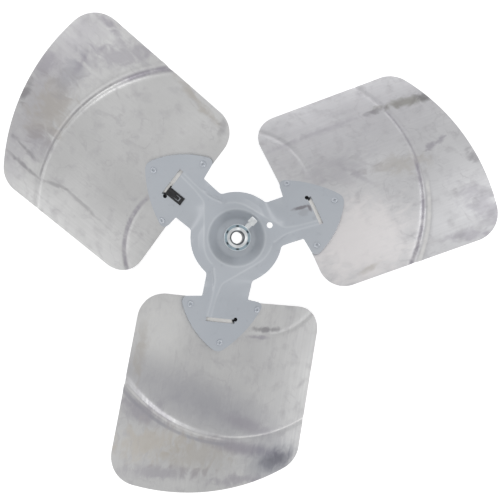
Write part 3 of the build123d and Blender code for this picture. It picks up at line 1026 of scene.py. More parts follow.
@dataclass
class Spider:
    """The pressed spider: dish, raised ring, rim, twisted arms with a raised panel, and paddles."""

    form: Form
    dish_depth: float = 11.0
    dish_floor_radius: float = 20.5
    dish_rim_radius: float = 30.0
    dish_bend: float = 4.0
    ring_bend: float = 3.0
    rim_bend: float = 2.5
    ring_outer_radius: float = 35.5
    rim_inner_radius: float = 42.5
    rim_drop: float = 3.6
    web_radius: float = 49.2
    web_corner: float = 5.0
    web_margin: float = 9.0
    web_steps: int = 6
    hole_radius: float = 10.0
    arm_leading: float = 25.6
    arm_trailing: float = 24.0
    arm_end: float = 88.0
    twist: Point = (40.0, 68.0)
    panel_raise: float = 2.8
    plateau_rise: float = 0.6
    plateau_start: float = 45.0
    web_blend: Point = (32.0, 40.0)
    pitch_blend: Point = (58.0, 74.0)
    valley: tuple[Point, ...] = (
        (33.5, -18.6),
        (38.0, -18.0),
        (50.0, -15.2),
        (67.0, -15.6),
        (88.0, -17.6),
    )
    crease: tuple[Point, ...] = (
        (23.0, 25.3),
        (32.3, 15.3),
        (38.4, 7.8),
        (41.8, 3.6),
        (50.7, -6.8),
        (60.0, -9.8),
        (69.0, -11.5),
        (88.0, -13.6),
    )
    valley_run: float = 3.5
    rim_edge: tuple[Point, ...] = (
        (-60.0, 36.2),
        (-46.0, 37.4),
        (-29.0, 38.2),
        (0.0, 37.0),
        (35.0, 34.6),
        (47.0, 34.6),
        (60.0, 36.2),
    )
    ramp: Point = (1.0, 13.5)
    slot_ends: Point = (-18.5, 13.5)
    notch_leading_x: float = 66.3
    notch_trailing_x: float = 65.0
    notch_corner: float = 1.5
    ear_leading: Point = (69.5, -48.5)
    ear_trailing: Point = (67.0, 43.5)
    ear_corner: float = 5.5
    apex_x: float = 126.0
    apex_corner: float = 9.0
    bulge_leading: float = 7.0
    bulge_trailing: float = 5.5
    slot_width: float = 4.6
    slot_end_radius: float = 2.2
    pilot_x: float = 37.9
    pilot_radius: float = 3.2
    mesh_pitch: float = 0.9
    line_clear: float = 0.3
    weld: float = 0.05
    drill_length: float = 40.0
    edge_blend: Point = (31.5, 34.0)
    fold_width: float = 0.9
    fold_hide: float = 6.0
    dish_fold_offset: float = 1.0
    rim_fold_offset: float = 0.3
    rim_fold_end: Point = (31.0, 36.0)
    valley_start: Point = (31.0, 36.0)
    crease_start: Point = (23.0, 28.0)
    smooth_angle: float = 40.0
    web_line: list[Point] = field(init=False)

    def __post_init__(self) -> None:
        """Draw the section of dish, ring and rim with its bends."""
        corners = [
            (0.0, -self.dish_depth),
            (self.dish_floor_radius, -self.dish_depth),
            (self.dish_rim_radius, 0.0),
            (self.ring_outer_radius, 0.0),
            (self.rim_inner_radius, -self.rim_drop),
            (self.web_radius + self.web_margin, -self.rim_drop),
        ]
        bends = {1: self.dish_bend, 2: self.ring_bend, 3: self.rim_bend, 4: self.rim_bend}
        self.web_line = round_corners(corners, bends)

    def level(self, x: float) -> float:
        """Height of the strip between the valley and the crease."""
        return self.plateau_rise * smooth_step(x, self.plateau_start, self.arm_end)

    def flange(self, x: float, lateral: float) -> float:
        """Height of the arm's plain sheet, which twists from the rim to the paddle."""
        turn = smooth_step(x, *self.twist)
        return -(1 - turn) * self.rim_drop + turn * self.form.height(lateral)

    def panel(self, x: float, lateral: float) -> float:
        """Height of the arm's main panel, behind the crease.

        Args:
            x: distance out along the arm.
            lateral: offset across it.

        Returns:
            The height.
        """
        crease = read_curve(self.crease, x)
        level = self.level(x)
        edge = self.flange(x, self.arm_trailing)
        ruled = level + (edge - level) * (lateral - crease) / (self.arm_trailing - crease)
        fall = min(max((lateral - self.ramp[0]) / (self.ramp[1] - self.ramp[0]), 0.0), 1.0)
        pitched = self.form.height(lateral) + self.panel_raise * (1 - fall)
        share = smooth_step(x, *self.pitch_blend)
        return min((1 - share) * ruled + share * pitched, level)

    def arm(self, x: float, lateral: float) -> float:
        """Height of an arm: flange, level strip and main panel, folded along two lines.

        Args:
            x: distance out along the arm.
            lateral: offset across it.

        Returns:
            The height.
        """
        if lateral > read_curve(self.crease, x):
            return self.panel(x, lateral)
        level = self.level(x)
        share = smooth_step(read_curve(self.valley, x) - lateral, 0.0, self.valley_run)
        return level + (self.flange(x, lateral) - level) * share

    def height(self, x: float, lateral: float) -> float:
        """Give the height of the spider's front face.

        Args:
            x: distance out along the arm.
            lateral: offset across it.

        Returns:
            The height.
        """
        radius = math.hypot(x, lateral)
        shift = self.edge_radius(x, lateral) - self.ring_outer_radius
        web = read_line(self.web_line, radius - shift * smooth_step(radius, *self.edge_blend))
        share = smooth_step(x, *self.web_blend)
        if share == 0.0:
            return web
        end = smooth_step(x, self.arm_end, self.arm_end + self.slot_width)
        arm = self.arm(x, lateral) if end < 1.0 else 0.0
        fold_highlight = (1 - end) * arm + end * self.form.height(lateral)
        return (1 - share) * web + share * fold_highlight

    def fold(self, x: float, lateral: float) -> float:
        """Give the share of the painted highlight along a fold line at a point.

        Args:
            x: distance out along the arm.
            lateral: offset across it.

        Returns:
            1 on a fold, 0 away from it.
        """
        radius = math.hypot(x, lateral)
        reach = [abs(radius - self.dish_rim_radius - self.dish_fold_offset)]
        rim = abs(radius - self.edge_radius(x, lateral) - self.rim_fold_offset)
        reach.append(rim + self.fold_hide * smooth_step(x, *self.rim_fold_end))
        outside = self.fold_hide * smooth_step(x, self.arm_end - 1, self.arm_end)
        for line, start in ((self.valley, self.valley_start), (self.crease, self.crease_start)):
            slope = read_curve(line, x + 0.5) - read_curve(line, x - 0.5)
            away = abs(lateral - read_curve(line, x)) / math.hypot(1.0, slope)
            reach.append(away + outside + self.fold_hide * (1 - smooth_step(x, *start)))
        return max(math.exp(-((distance / self.fold_width) ** 2)) for distance in reach)

    def edge_radius(self, x: float, lateral: float) -> float:
        """Radius at which the raised ring ends, in the direction of a point."""
        return read_curve(self.rim_edge, math.degrees(math.atan2(lateral, x)))

    def bulged(self, start: Point, end: Point, bulge: float, steps: int = 6) -> list[Point]:
        """Points between two corners on an outward arc of this height."""
        chord = Vector(end) - Vector(start)
        outward = Vector((chord.y, -chord.x)).normalized()
        points: list[Point] = []
        for step in range(1, steps):
            share = step / steps
            place = Vector(start) + chord * share + outward * (bulge * 4 * share * (1 - share))
            points.append((place.x, place.y))
        return points

    def web_arc(self, start: float, end: float) -> list[Point]:
        """Points on the web's edge from one angle in radians to another."""
        return arc(ORIGIN, (self.web_radius, self.web_radius), start, end, self.web_steps)

    def outline(self) -> list[Point]:
        """Edge of one third of the spider, counter-clockwise from the axis."""
        half = math.radians(self.form.arm_step / 2)
        lead = self.web_arc(-half, -math.asin(self.arm_leading / self.web_radius))
        trail = self.web_arc(math.asin(self.arm_trailing / self.web_radius), half)
        notch_leading = (self.notch_leading_x, -self.arm_leading)
        notch_trailing = (self.notch_trailing_x, self.arm_trailing)
        apex = (self.apex_x, 0.0)
        points = [ORIGIN, *lead, notch_leading, self.ear_leading]
        points += self.bulged(self.ear_leading, apex, self.bulge_leading)
        points += [apex, *self.bulged(apex, self.ear_trailing, self.bulge_trailing)]
        points += [self.ear_trailing, notch_trailing, *trail]
        radii = {
            lead[-1]: self.web_corner,
            notch_leading: self.notch_corner,
            self.ear_leading: self.ear_corner,
            apex: self.apex_corner,
            self.ear_trailing: self.ear_corner,
            notch_trailing: self.notch_corner,
            trail[0]: self.web_corner,
        }
        corners = {points.index(point): radius for point, radius in radii.items()}
        return round_corners(points, corners, self.web_steps)

    def build(self) -> Thing:
        """Model one third, copy it round and make it one sheet."""
        slot_end = self.arm_end + self.slot_width
        slot_low, slot_high = self.slot_ends
        marks = [slot_low, -slot_low, slot_high, -slot_high]
        across = spread(0.0, self.web_radius, self.mesh_pitch)
        lines = [0.0] + across + [-line for line in across]
        lines = [line for line in lines if min(abs(line - mark) for mark in marks) > self.line_clear]
        along = spread(0.0, self.arm_end, self.mesh_pitch)
        along += [self.arm_end, slot_end] + spread(slot_end, self.apex_x, 2 * self.mesh_pitch)
        sector = Bench.polygon("spider_sector", self.outline())
        Bench.score(sector, along, Vector((1, 0, 0)))
        Bench.score(sector, sorted(lines + marks), Vector((0, 1, 0)))
        Bench.punch(
            sector,
            lambda place: self.arm_end < place.x < slot_end and slot_low < place.y < slot_high,
        )
        Bench.punch(sector, lambda place: math.hypot(place.x, place.y) < self.hole_radius)
        # The fold attribute carries the painted highlight along the bends.
        mask = sector.data.attributes.new("fold", "FLOAT", "POINT")
        for vertex in sector.data.vertices:
            mask.data[vertex.index].value = self.fold(vertex.co.x, vertex.co.y)
        Bench.press(sector, self.height)
        thirds = [Bench.copy(sector, f"spider_{arm.name.lower()}", self.form.turn(arm)) for arm in Arm]
        bpy.data.objects.remove(sector)
        sheet = Bench.join(thirds, "spider_sheet")
        with Bench.edit(sheet):
            bpy.ops.mesh.remove_doubles(threshold=self.weld)
        gauge = self.form.spider_thickness
        Bench.modify(sheet, "SOLIDIFY", thickness=gauge, offset=-1.0, use_even_offset=True)
        pilot = Matrix.Translation((self.pilot_x, 0, 0))
        drills = [Bench.drill(self.pilot_radius, self.drill_length, self.form.turn(Arm.RIGHT) @ pilot)]
        end = Matrix.Translation((self.arm_end, slot_high, self.form.height(slot_high)))
        for arm in Arm:
            place = self.form.turn(arm) @ end
            drills.append(Bench.drill(self.slot_end_radius, self.drill_length / 2, place))
        Bench.carve(sheet, drills)
        return sheet

    def set_up(self, finish: SpiderPaint) -> None:
        """Build the spider and paint it."""
        Bench.finish(self.build(), finish.make(), self.smooth_angle, Slot.PAINT, "spider")


@dataclass
class Hub:
    """The turned hub with its countersunk bore, staked foot and punch marks on its face."""

    radius: float = 14.0
    top: float = 20.0
    floor: float = -11.0
    bore: float = 6.35
    mouth: float = 10.0
    mouth_depth: float = 2.4
    edge: float = 0.8
    spigot: float = 11.0
    stake: float = 12.6
    stake_top: float = -13.35
    stake_bottom: float = -15.15
    screw_angle: float = 46.6
    screw_height: float = 6.0
    screw_hole: float = 4.02
    punch_count: int = 6
    punch_radius: float = 12.0
    punch_size: Triple = (1.5, 3.4, 1.6)
    punch_taper: float = 0.55
    dent_shade_reach: Point = (0.9, 1.8)
    facets: int = 96
    smooth_angle: float = 30.0

    def screw_frame(self) -> Matrix:
        """Frame whose Z runs out along the set screw."""
        turned = Matrix.Rotation(math.radians(self.screw_angle), 4, "Z")
        tipped = Matrix.Rotation(math.pi / 2, 4, "Y")
        return Matrix.Translation((0, 0, self.screw_height)) @ turned @ tipped

    def punch(self, angle: float) -> Thing:
        """Make the tapered cutter of one punch mark at an angle, and return it."""
        cutter = Bench.start("punch", bpy.ops.mesh.primitive_cube_add, size=1.0)
        width, length, depth = self.punch_size
        for vertex in cutter.data.vertices:
            narrow = self.punch_taper if vertex.co.z < 0 else 1.0
            vertex.co = (vertex.co.x * width * narrow, vertex.co.y * length * narrow, vertex.co.z * depth)
        place = Matrix.Rotation(angle, 4, "Z") @ Matrix.Translation((self.punch_radius, 0, self.top))
        cutter.data.transform(place)
        return cutter

    def punch_angles(self) -> list[float]:
        """Angles in radians of the punch marks."""
        step = 2 * math.pi / self.punch_count
        return [step / 2 + index * step for index in range(self.punch_count)]

    def dent_shade(self) -> tuple[Stain, ...]:
        """Painted shade: black marks in the punched dents."""
        marks: list[Stain] = []
        for angle in self.punch_angles():
            centre = (self.punch_radius * math.cos(angle), self.punch_radius * math.sin(angle))
            marks.append(Stain(centre, self.dent_shade_reach, math.degrees(angle), BLACK, 0.8, 0.4, 0.2))
        return tuple(marks)

    def build(self) -> Thing:
        """Turn the hub, drill it and punch it."""
        profile = [
            (self.bore, self.stake_bottom),
            (self.stake - self.edge, self.stake_bottom),
            (self.stake, self.stake_bottom + self.edge),
            (self.stake, self.stake_top),
            (self.spigot, self.stake_top),
            (self.spigot, self.floor),
            (self.radius, self.floor),
            (self.radius, self.top - self.edge),
            (self.radius - 0.3 * self.edge, self.top - 0.3 * self.edge),
            (self.radius - self.edge, self.top),
            (self.mouth, self.top),
            (self.bore, self.top - self.mouth_depth),
        ]
        barrel = Bench.lathe("hub_barrel", profile, self.facets)
        middle = self.screw_frame() @ Matrix.Translation((0, 0, self.radius))
        cutters = [Bench.drill(self.screw_hole, 2 * self.radius, middle)]
        cutters += [self.punch(angle) for angle in self.punch_angles()]
        Bench.carve(barrel, cutters)
        return barrel

    def set_up(self, finish: TurnedZinc) -> None:
        """Build the hub and plate it."""
        Bench.finish(self.build(), finish.make(), self.smooth_angle, Slot.ZINC, "hub")


@dataclass
class SetScrew:
    """The square-head set screw: thread, neck and a chamfered square head."""

    hub: Hub
    tip: float = 6.75
    thread_radius: float = 3.97
    thread_pitch: float = 1.41
    thread_depth: float = 0.45
    neck_start: float = 15.0
    neck_radius: float = 3.1
    head_start: float = 20.4
    head_length: float = 7.4
    head_width: float = 7.94
    head_chamfer: float = 0.9
    head_round: float = 0.35
    head_overlap: float = 0.5
    facets: int = 40
    smooth_angle: float = 35.0

    def build(self) -> Thing:
        """Turn the shank, shape the head and join them."""
        profile: list[Point] = [(0.0, self.tip), (self.thread_radius - self.thread_depth, self.tip)]
        turns = int((self.neck_start - self.tip) / self.thread_pitch)
        for index in range(turns):
            start = self.tip + index * self.thread_pitch
            profile.append((self.thread_radius, start + self.thread_pitch / 2))
            profile.append((self.thread_radius - self.thread_depth, start + self.thread_pitch))
        profile.append((self.neck_radius, self.neck_start))
        profile.append((self.neck_radius, self.head_start + self.head_overlap))
        profile.append((0.0, self.head_start + self.head_overlap))
        shank = Bench.lathe("set_screw_shank", profile, self.facets)
        head = Bench.start("set_screw_head", bpy.ops.mesh.primitive_cube_add, size=1.0)
        middle = Matrix.Translation((0, 0, self.head_start + self.head_length / 2))
        size = Matrix.Diagonal((self.head_width, self.head_width, self.head_length, 1.0))
        head.data.transform(middle @ size)
        level = self.head_start + self.head_length / 2
        with Bench.pick(head, "EDGE", lambda edge: all(vertex.co.z > level for vertex in edge.verts)):
            bpy.ops.mesh.bevel(offset=self.head_chamfer, segments=1)
        Bench.modify(head, "BEVEL", width=self.head_round, segments=2, limit_method="ANGLE")
        screw = Bench.join([shank, head], "set_screw_square")
        screw.data.transform(self.hub.screw_frame())
        return screw

    def set_up(self, finish: TurnedZinc) -> None:
        """Build the screw and plate it."""
        Bench.finish(self.build(), finish.make(), self.smooth_angle, Slot.ZINC, "set_screw")


@dataclass
class Rivets:
    """The nine tubular rivets: rolled over in front, domed behind."""

    form: Form
    shank: float = 2.35
    head: float = 4.2
    head_height: float = 1.4
    roll: float = 3.3
    roll_height: float = 1.1
    hollow: float = 1.3
    hollow_depth: float = 2.4
    seat: float = 0.05
    roll_steps: int = 8
    head_steps: int = 6
    facets: int = 32
    smooth_angle: float = 40.0

    def build(self) -> Thing:
        """Turn one rivet, copy it to every place and join the copies."""
        form = self.form
        back = -(form.spider_thickness + form.seat_gap + form.blade_thickness + self.seat)
        bottom = self.roll_height - self.hollow_depth
        profile: list[Point] = [(0.0, bottom), (self.hollow, bottom)]
        middle = ((self.hollow + self.roll) / 2, self.roll_height / 2)
        bow = ((self.roll - self.hollow) / 2, self.roll_height / 2)
        profile += arc(middle, bow, math.pi, 0.0, self.roll_steps)
        profile += [(self.roll, self.seat), (self.shank, self.seat), (self.shank, back)]
        profile += arc((0.0, back), (self.head, -self.head_height), 0.0, math.pi / 2, self.head_steps)
        master = Bench.lathe("rivet", profile, self.facets)
        copies: list[Thing] = []
        for arm in Arm:
            for index, place in enumerate(form.rivet_places):
                where = form.turn(arm) @ form.seat(*place)
                copies.append(Bench.copy(master, f"rivet_{arm.name.lower()}_{index}", where))
        bpy.data.objects.remove(master)
        return Bench.join(copies, "rivets_rolled")

    def set_up(self, finish: DullSteel) -> None:
        """Build the rivets and dress them."""
        Bench.finish(self.build(), finish.make(), self.smooth_angle, Slot.RIVET, "rivets")


@dataclass
class BalanceClip:
    """The spring clip on one arm, folded over the edge of the slot, with a barb cut in its face."""

    spider: Spider
    thickness: float = 0.5
    width: float = 10.8
    lateral: float = 6.7
    gap: float = 0.2
    top_length: float = 19.0
    bottom_length: float = 12.0
    barb_start: float = 12.0
    barb_length: float = 6.2
    barb_width: float = 5.8
    barb_slit: float = 1.0
    bend_steps: int = 12
    edge_round: float = 0.08
    smooth_angle: float = 35.0

    def seat(self) -> Matrix:
        """Frame on the arm's ramp at the slot's edge: X out along the arm, Z square to the sheet."""
        edge = self.spider.arm_end
        above = self.spider.height(edge, self.lateral + 0.5)
        below = self.spider.height(edge, self.lateral - 0.5)
        tilt = Matrix.Rotation(math.atan(above - below), 4, "X")
        level = self.spider.height(edge, self.lateral)
        return Matrix.Translation((edge, self.lateral, level)) @ tilt

    def slit(self) -> tuple[float, float, float, float]:
        """Far and near end, and inner and outer edge, of the slit round the barb."""
        far = -self.barb_start - self.barb_length / 2
        outer = self.barb_width / 2
        return far, far + self.barb_length, outer - self.barb_slit, outer

    def in_slit(self, place: Vector) -> bool:
        """Tell whether a point of the strip lies in the slit round the barb."""
        far, near, inner, outer = self.slit()
        if place.z < 0 or not far < place.x < near or abs(place.y) > outer:
            return False
        return abs(place.y) > inner or place.x < far + self.barb_slit

    def build(self) -> Thing:
        """Bend a strip round the slot's edge and cut the barb."""
        sheet = self.spider.form.spider_thickness
        half = self.thickness / 2
        bend = sheet / 2 + self.gap + half
        far, near, inner, outer = self.slit()
        stations = [-self.top_length, far, far + self.barb_slit, near, 0.0]
        path: list[Point] = [(station, self.gap + half) for station in stations]
        half_turn = (math.pi / 2, -math.pi / 2)
        path += arc((0.0, -sheet / 2), (bend, bend), *half_turn, self.bend_steps)[1:-1]
        path += [(station, -sheet - self.gap - half) for station in (0.0, -self.bottom_length)]
        edges = [-self.width / 2, -outer, -inner, inner, outer, self.width / 2]
        columns = len(path) - 1
        rows = len(edges) - 1
        grid = bpy.ops.mesh.primitive_grid_add
        strip = Bench.start(
            "balance_clip_strip", grid, x_subdivisions=columns, y_subdivisions=rows, size=2.0
        )
        for vertex in strip.data.vertices:
            column = round((vertex.co.x + 1) / 2 * columns)
            row = round((vertex.co.y + 1) / 2 * rows)
            vertex.co = (path[column][0], edges[row], path[column][1])
        strip.data.update()
        Bench.punch(strip, self.in_slit)
        Bench.modify(strip, "SOLIDIFY", thickness=self.thickness, offset=0.0, use_even_offset=True)
        Bench.modify(strip, "BEVEL", width=self.edge_round, segments=2, limit_method="ANGLE")
        strip.data.transform(self.spider.form.turn(Arm.LEFT) @ self.seat())
        return strip

    def set_up(self, finish: DullSteel) -> None:
        """Build the clip and blacken it."""
        Bench.finish(self.build(), finish.make(), self.smooth_angle, Slot.SPRING, "balance_clip")


@dataclass(frozen=True)
class SoftBox:
    """A square area light that faces the origin; place and size in metres, power in watts."""

    name: str
    place: Triple
    size: float
    power: float

    def hang(self) -> None:
        """Make the light and put it in the scene."""
        lamp = bpy.data.lights.new(self.name, "AREA")
        lamp.shape = "SQUARE"
        lamp.size = self.size
        lamp.energy = self.power
        box = bpy.data.objects.new(self.name, lamp)
        box.location = self.place
        box.rotation_euler = (-Vector(self.place)).to_track_quat("-Z", "Y").to_euler()
        bpy.context.scene.collection.objects.link(box)


@dataclass
class Studio:
    """White sweep, soft light and the camera."""

    floor_level: float
    floor_size: float = 12.0
    floor_tone: float = 0.8
    floor_roughness: float = 0.9
    floor_glow: float = 0.6
    room_light: float = 0.66
    boxes: tuple[SoftBox, ...] = (
        SoftBox("soft_box_left", (-1.35, 0.25, 1.2), 0.7, 3.6),
        SoftBox("soft_box_right", (0.85, 1.05, 1.2), 0.6, 3.0),
        SoftBox("soft_box_low", (0.1, -1.4, 1.0), 0.6, 3.8),
    )
    view_distance: float = 800.0
    view_tilt: Triple = (0.0093, 0.0618, -0.0014)
    view_centre: Point = (14.2, -13.05)
    sensor: float = 36.0
    lens: float = 54.06
    clip_range: Point = (0.01, 50.0)

    def floor(self) -> None:
        """Lay a white floor that keeps the shadow and reads as white."""
        plane = bpy.ops.mesh.primitive_plane_add
        sweep = Bench.start("studio_floor", plane, size=self.floor_size, location=(0, 0, 0))
        sweep.data.transform(Matrix.Translation((0, 0, self.floor_level)))
        desk = NodeDesk("floor_white")
        tone = (self.floor_tone, self.floor_tone, self.floor_tone, 1.0)
        desk.give({"Base Color": tone, "Roughness": self.floor_roughness})
        seen = desk.add("ShaderNodeLightPath").outputs
        either = desk.sum("MAXIMUM", seen["Is Camera Ray"], seen["Is Glossy Ray"])
        either = desk.sum("MAXIMUM", either, seen["Is Transmission Ray"])
        strength = desk.sum("MULTIPLY", either, self.floor_glow)
        glow = desk.add("ShaderNodeEmission", {"Strength": strength}).outputs["Emission"]
        both = desk.add("ShaderNodeAddShader", {0: desk.shader.outputs["BSDF"], 1: glow})
        desk.feed(desk.output.inputs["Surface"], both.outputs["Shader"])
        desk.dress(sweep)
        sweep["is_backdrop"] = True

    def light(self) -> None:
        """Hang the soft boxes and set the room light."""
        world = bpy.data.worlds.new("studio_room")
        bpy.context.scene.world = world
        world.use_nodes = True
        room = world.node_tree.nodes["Background"].inputs
        room["Color"].default_value = (1.0, 1.0, 1.0, 1.0)
        room["Strength"].default_value = self.room_light
        for box in self.boxes:
            box.hang()

    def camera(self) -> None:
        """Set the camera where the picture was taken from."""
        turn = Matrix.Identity(3)
        for angle, axis in zip(self.view_tilt, "XYZ"):
            turn = turn @ Matrix.Rotation(angle, 3, axis)
        back = turn.transposed()
        place = back @ Vector((*self.view_centre, self.view_distance)) * MM
        data = bpy.data.cameras.new("camera")
        data.sensor_width = self.sensor
        data.lens = self.lens
        data.clip_start, data.clip_end = self.clip_range
        camera = bpy.data.objects.new("camera", data)
        camera.matrix_world = Matrix.Translation(place) @ back.to_4x4()
        bpy.context.scene.collection.objects.link(camera)
        bpy.context.scene.camera = camera

    def set_up(self) -> None:
        """Make the whole studio."""
        self.floor()
        self.light()
        self.camera()
        bpy.context.scene.view_settings.view_transform = "Standard"


PURPLE: Colour = (0.42, 0.40, 0.45)
# Grime on the blades, also used for painted shade along the beads.
GRIME_AND_SHADE: Colour = (0.33, 0.31, 0.36)
SLATE: Colour = (0.36, 0.36, 0.40)
BROWN: Colour = (0.47, 0.44, 0.40)
KHAKI: Colour = (0.57, 0.53, 0.47)
DARK: Colour = (0.21, 0.20, 0.22)
OLIVE: Colour = (0.27, 0.26, 0.23)
INKY: Colour = (0.10, 0.10, 0.13)
BLACK: Colour = (0.012, 0.012, 0.014)
WARM: Colour = (0.86, 0.83, 0.83)
# Colour of the painted highlights on the blades.
PAINTED_HIGHLIGHT: Colour = (0.93, 0.92, 0.90)
PALE: Colour = (0.82, 0.82, 0.81)
SMOKY: Colour = (0.22, 0.23, 0.28)

OUTER_BEAD: Point = (41.0, 40.0)
INNER_BEAD: Point = (26.0, 45.0)

# Painted light on every blade under its arm's slot: a painted highlight where the slot shows the blade,
# and painted shade in black at the slot's round end.
SLOT_LIGHT_AND_SHADE: tuple[Mark, ...] = (
    Stain((90.3, -3.0), (4.0, 14.0), 0.0, PAINTED_HIGHLIGHT, 0.95, 0.2, 0.1),
    Stain((88.6, 13.2), (3.4, 3.4), 0.0, BLACK, 0.97, 0.2, 0.1),
)

RIGHT_STAINS_AND_LIGHT: tuple[Mark, ...] = (
    Stain((175.0, 80.0), (118.0, 44.0), 0.0, PURPLE, 0.22, 0.7, 0.5),
    Stain((118.0, -48.0), (52.0, 42.0), 0.0, WARM, 0.75, 0.6, 0.5),
    Stain((199.0, 11.5), (24.0, 9.0), -8.0, BROWN, 0.45),
    Stain((244.0, 77.5), (28.0, 4.6), -6.0, OLIVE, 0.65),
    Stain((266.0, 75.5), (9.0, 5.0), -6.0, INKY, 0.4),
    Stain((205.0, 79.5), (14.0, 2.4), 0.0, DARK, 0.38),
    Stain((140.0, 80.0), (46.0, 3.0), 0.0, GRIME_AND_SHADE, 0.3),
    Stain((133.0, 30.0), (32.0, 14.0), -8.0, GRIME_AND_SHADE, 0.22),
    Stain((150.0, 18.0), (14.0, 3.0), -55.0, GRIME_AND_SHADE, 0.3),
    Stain((239.0, 18.4), (6.0, 3.2), 20.0, GRIME_AND_SHADE, 0.6),
    Stain((253.0, 21.7), (6.0, 2.8), 30.0, GRIME_AND_SHADE, 0.6),
    Stain((274.0, -9.0), (4.5, 7.0), 0.0, DARK, 0.45),
    Stain((261.0, -64.0), (14.0, 30.0), 24.0, GRIME_AND_SHADE, 0.4),
    Stain((228.0, -84.0), (18.0, 5.0), -15.0, GRIME_AND_SHADE, 0.5),
    Stain((116.0, -79.0), (12.0, 2.2), 5.0, BROWN, 0.5),
    # Painted shade along the outer bead's groove, then a painted highlight along its edge.
    ArcStain(OUTER_BEAD, 177.0, 3.6, (-95.0, 5.0), GRIME_AND_SHADE, 0.75),
    ArcStain(OUTER_BEAD, 179.5, 1.8, (5.0, 70.0), GRIME_AND_SHADE, 0.5),
    ArcStain(OUTER_BEAD, 183.5, 2.6, (-92.0, -20.0), PAINTED_HIGHLIGHT, 0.6),
)

LEFT_STAINS_AND_SHADE: tuple[Mark, ...] = (
    Stain((255.0, 0.0), (22.0, 105.0), 0.0, PURPLE, 0.4, 0.7, 0.6),
    Stain((212.0, -69.0), (26.0, 10.0), 40.0, GRIME_AND_SHADE, 0.5),
    Stain((243.0, 19.0), (18.0, 27.0), 0.0, BROWN, 0.6),
    Stain((275.0, 20.0), (4.5, 9.0), 0.0, DARK, 0.55),
    Stain((272.0, -15.0), (8.0, 11.0), 0.0, GRIME_AND_SHADE, 0.45),
    Stain((244.0, -23.0), (10.0, 19.0), 0.0, SLATE, 0.45),
    Stain((234.0, 55.0), (12.0, 13.0), 0.0, GRIME_AND_SHADE, 0.4),
    Stain((239.0, 87.0), (18.0, 2.0), -3.0, DARK, 0.5),
    Stain((248.0, 70.0), (13.0, 1.8), -8.0, DARK, 0.45),
    Stain((195.0, 81.0), (15.0, 1.7), 18.0, DARK, 0.4),
    Stain((160.0, 79.0), (26.0, 1.7), -4.0, DARK, 0.35),
    Stain((122.0, -83.0), (27.0, 3.2), -11.0, BROWN, 0.6),
    Stain((83.0, -75.0), (3.6, 9.0), 20.0, DARK, 0.3),
    Stain((243.0, -86.0), (16.0, 3.4), -2.0, GRIME_AND_SHADE, 0.6),
    Stain((241.0, -40.0), (3.0, 9.0), 0.0, GRIME_AND_SHADE, 0.5),
    # Painted shade along the outer and inner beads.
    ArcStain(OUTER_BEAD, 181.0, 1.9, (-45.0, 80.0), DARK, 0.5),
    ArcStain(OUTER_BEAD, 179.0, 5.0, (-94.0, -52.0), GRIME_AND_SHADE, 0.8),
    ArcStain(INNER_BEAD, 78.5, 3.8, (30.0, 112.0), GRIME_AND_SHADE, 0.7),
)

LOWER_STAINS_AND_LIGHT: tuple[Mark, ...] = (
    Stain((102.0, -60.0), (34.0, 28.0), 0.0, PALE, 0.5, 0.7, 0.4),
    # A painted reflection: the broad dark band across the blade.
    Stain((184.0, -4.0), (84.0, 21.0), 70.0, SLATE, 0.62, 0.95, 0.3),
    Stain((205.0, 46.0), (28.0, 7.0), 70.0, GRIME_AND_SHADE, 0.5, 0.7, 0.3),
    Stain((195.0, -67.0), (27.0, 10.0), 66.0, GRIME_AND_SHADE, 0.55),
    Stain((226.0, -57.0), (14.0, 30.0), 0.0, KHAKI, 0.6),
    Stain((238.0, -4.0), (15.0, 30.0), 0.0, BROWN, 0.5),
    Stain((232.0, 48.0), (42.0, 6.5), 77.0, GRIME_AND_SHADE, 0.7, 0.7, 0.4),
    Stain((250.0, 84.0), (19.0, 26.0), 0.0, SMOKY, 0.6, 0.9, 0.4),
    Stain((248.0, 93.0), (10.0, 16.0), 0.0, INKY, 0.65, 0.9, 0.5),
    Stain((96.3, 50.0), (2.4, 14.0), 4.0, DARK, 0.6),
    Stain((105.6, 44.0), (1.7, 9.0), 0.0, GRIME_AND_SHADE, 0.6),
    Stain((257.0, -40.0), (6.0, 36.0), 0.0, GRIME_AND_SHADE, 0.45),
    Stain((268.0, 43.0), (5.0, 24.0), 0.0, GRIME_AND_SHADE, 0.5),
    Stain((130.0, -80.0), (22.0, 5.0), 0.0, BROWN, 0.5),
    # Painted shade along the outer bead, then painted highlights along it.
    ArcStain(OUTER_BEAD, 186.0, 2.6, (-92.0, 20.0), SLATE, 0.6),
    ArcStain(OUTER_BEAD, 181.0, 1.6, (-92.0, 15.0), PAINTED_HIGHLIGHT, 0.4),
    ArcStain(OUTER_BEAD, 178.0, 1.6, (25.0, 118.0), PAINTED_HIGHLIGHT, 0.5),
)

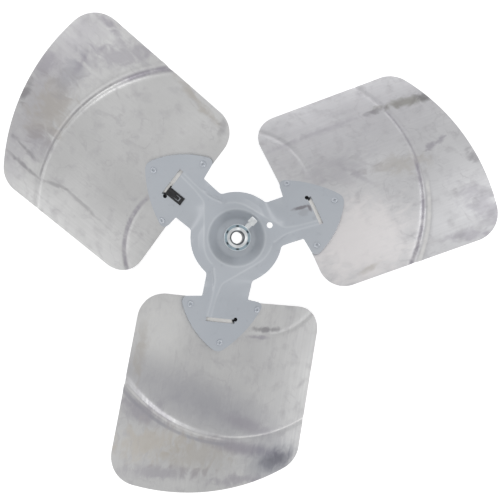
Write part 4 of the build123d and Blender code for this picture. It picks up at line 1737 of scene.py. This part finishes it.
BLADE_FINISHES: dict[Arm, BladeAluminium] = {
    Arm.RIGHT: BladeAluminium(
        "aluminium_right",
        1.0,
        RIGHT_STAINS_AND_LIGHT + SLOT_LIGHT_AND_SHADE,
        pale=(0.72, 0.72, 0.735),
        dull=(0.60, 0.60, 0.615),
    ),
    Arm.LEFT: BladeAluminium(
        "aluminium_left",
        23.0,
        LEFT_STAINS_AND_SHADE + SLOT_LIGHT_AND_SHADE,
        pale=(0.695, 0.695, 0.695),
        dull=(0.58, 0.58, 0.58),
    ),
    Arm.LOWER: BladeAluminium("aluminium_lower", 47.0, LOWER_STAINS_AND_LIGHT + SLOT_LIGHT_AND_SHADE),
}
SCREW_ZINC = TurnedZinc("screw_zinc", blue=(0.80, 0.79, 0.76))
RIVET_STEEL = DullSteel("rivet_steel", (0.52, 0.55, 0.60), (0.68, 0.71, 0.75), 0.8, (0.34, 0.46))
CLIP_BLACK = DullSteel("clip_black", BLACK, (0.03, 0.03, 0.033), 0.3, (0.4, 0.55))


def paint_marks(form: Form) -> tuple[Stain, ...]:
    """Scuffs in the paint where a clip was pushed on and pulled off.

    Args:
        form: gives the arms' places.

    Returns:
        The marks, in the row frame.
    """
    turned = form.turn(Arm.RIGHT)
    marks: list[Stain] = []
    for x, lateral, reach, turn, strength in (
        (77.2, 5.7, (8.6, 1.7), -7.3, 0.9),
        (85.6, 1.6, (4.2, 1.5), 94.0, 0.85),
        (78.0, 0.0, (6.0, 4.0), 0.0, 0.25),
    ):
        place = turned @ Vector((x, lateral, 0.0))
        angle = form.first_arm_angle + turn
        marks.append(Stain((place.x, place.y), reach, angle, DARK, strength, 0.5, 0.5))
    return tuple(marks)


def main() -> None:
    """Build the fan, dress it and set up the studio."""
    logging.basicConfig(level=logging.INFO, format="%(name)s %(message)s")
    cad_low, cad_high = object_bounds()
    form = Form()
    spider = Spider(form)
    hub = Hub()
    Blade(form).set_up(BLADE_FINISHES)
    spider.set_up(SpiderPaint(paint_marks(form)))
    hub.set_up(TurnedZinc("hub_zinc", shade_to=8.0, marks=hub.dent_shade()))
    SetScrew(hub).set_up(SCREW_ZINC)
    Rivets(form).set_up(RIVET_STEEL)
    BalanceClip(spider).set_up(CLIP_BLACK)
    Studio(cad_low.z).set_up()


if __name__ == "__main__":
    main()
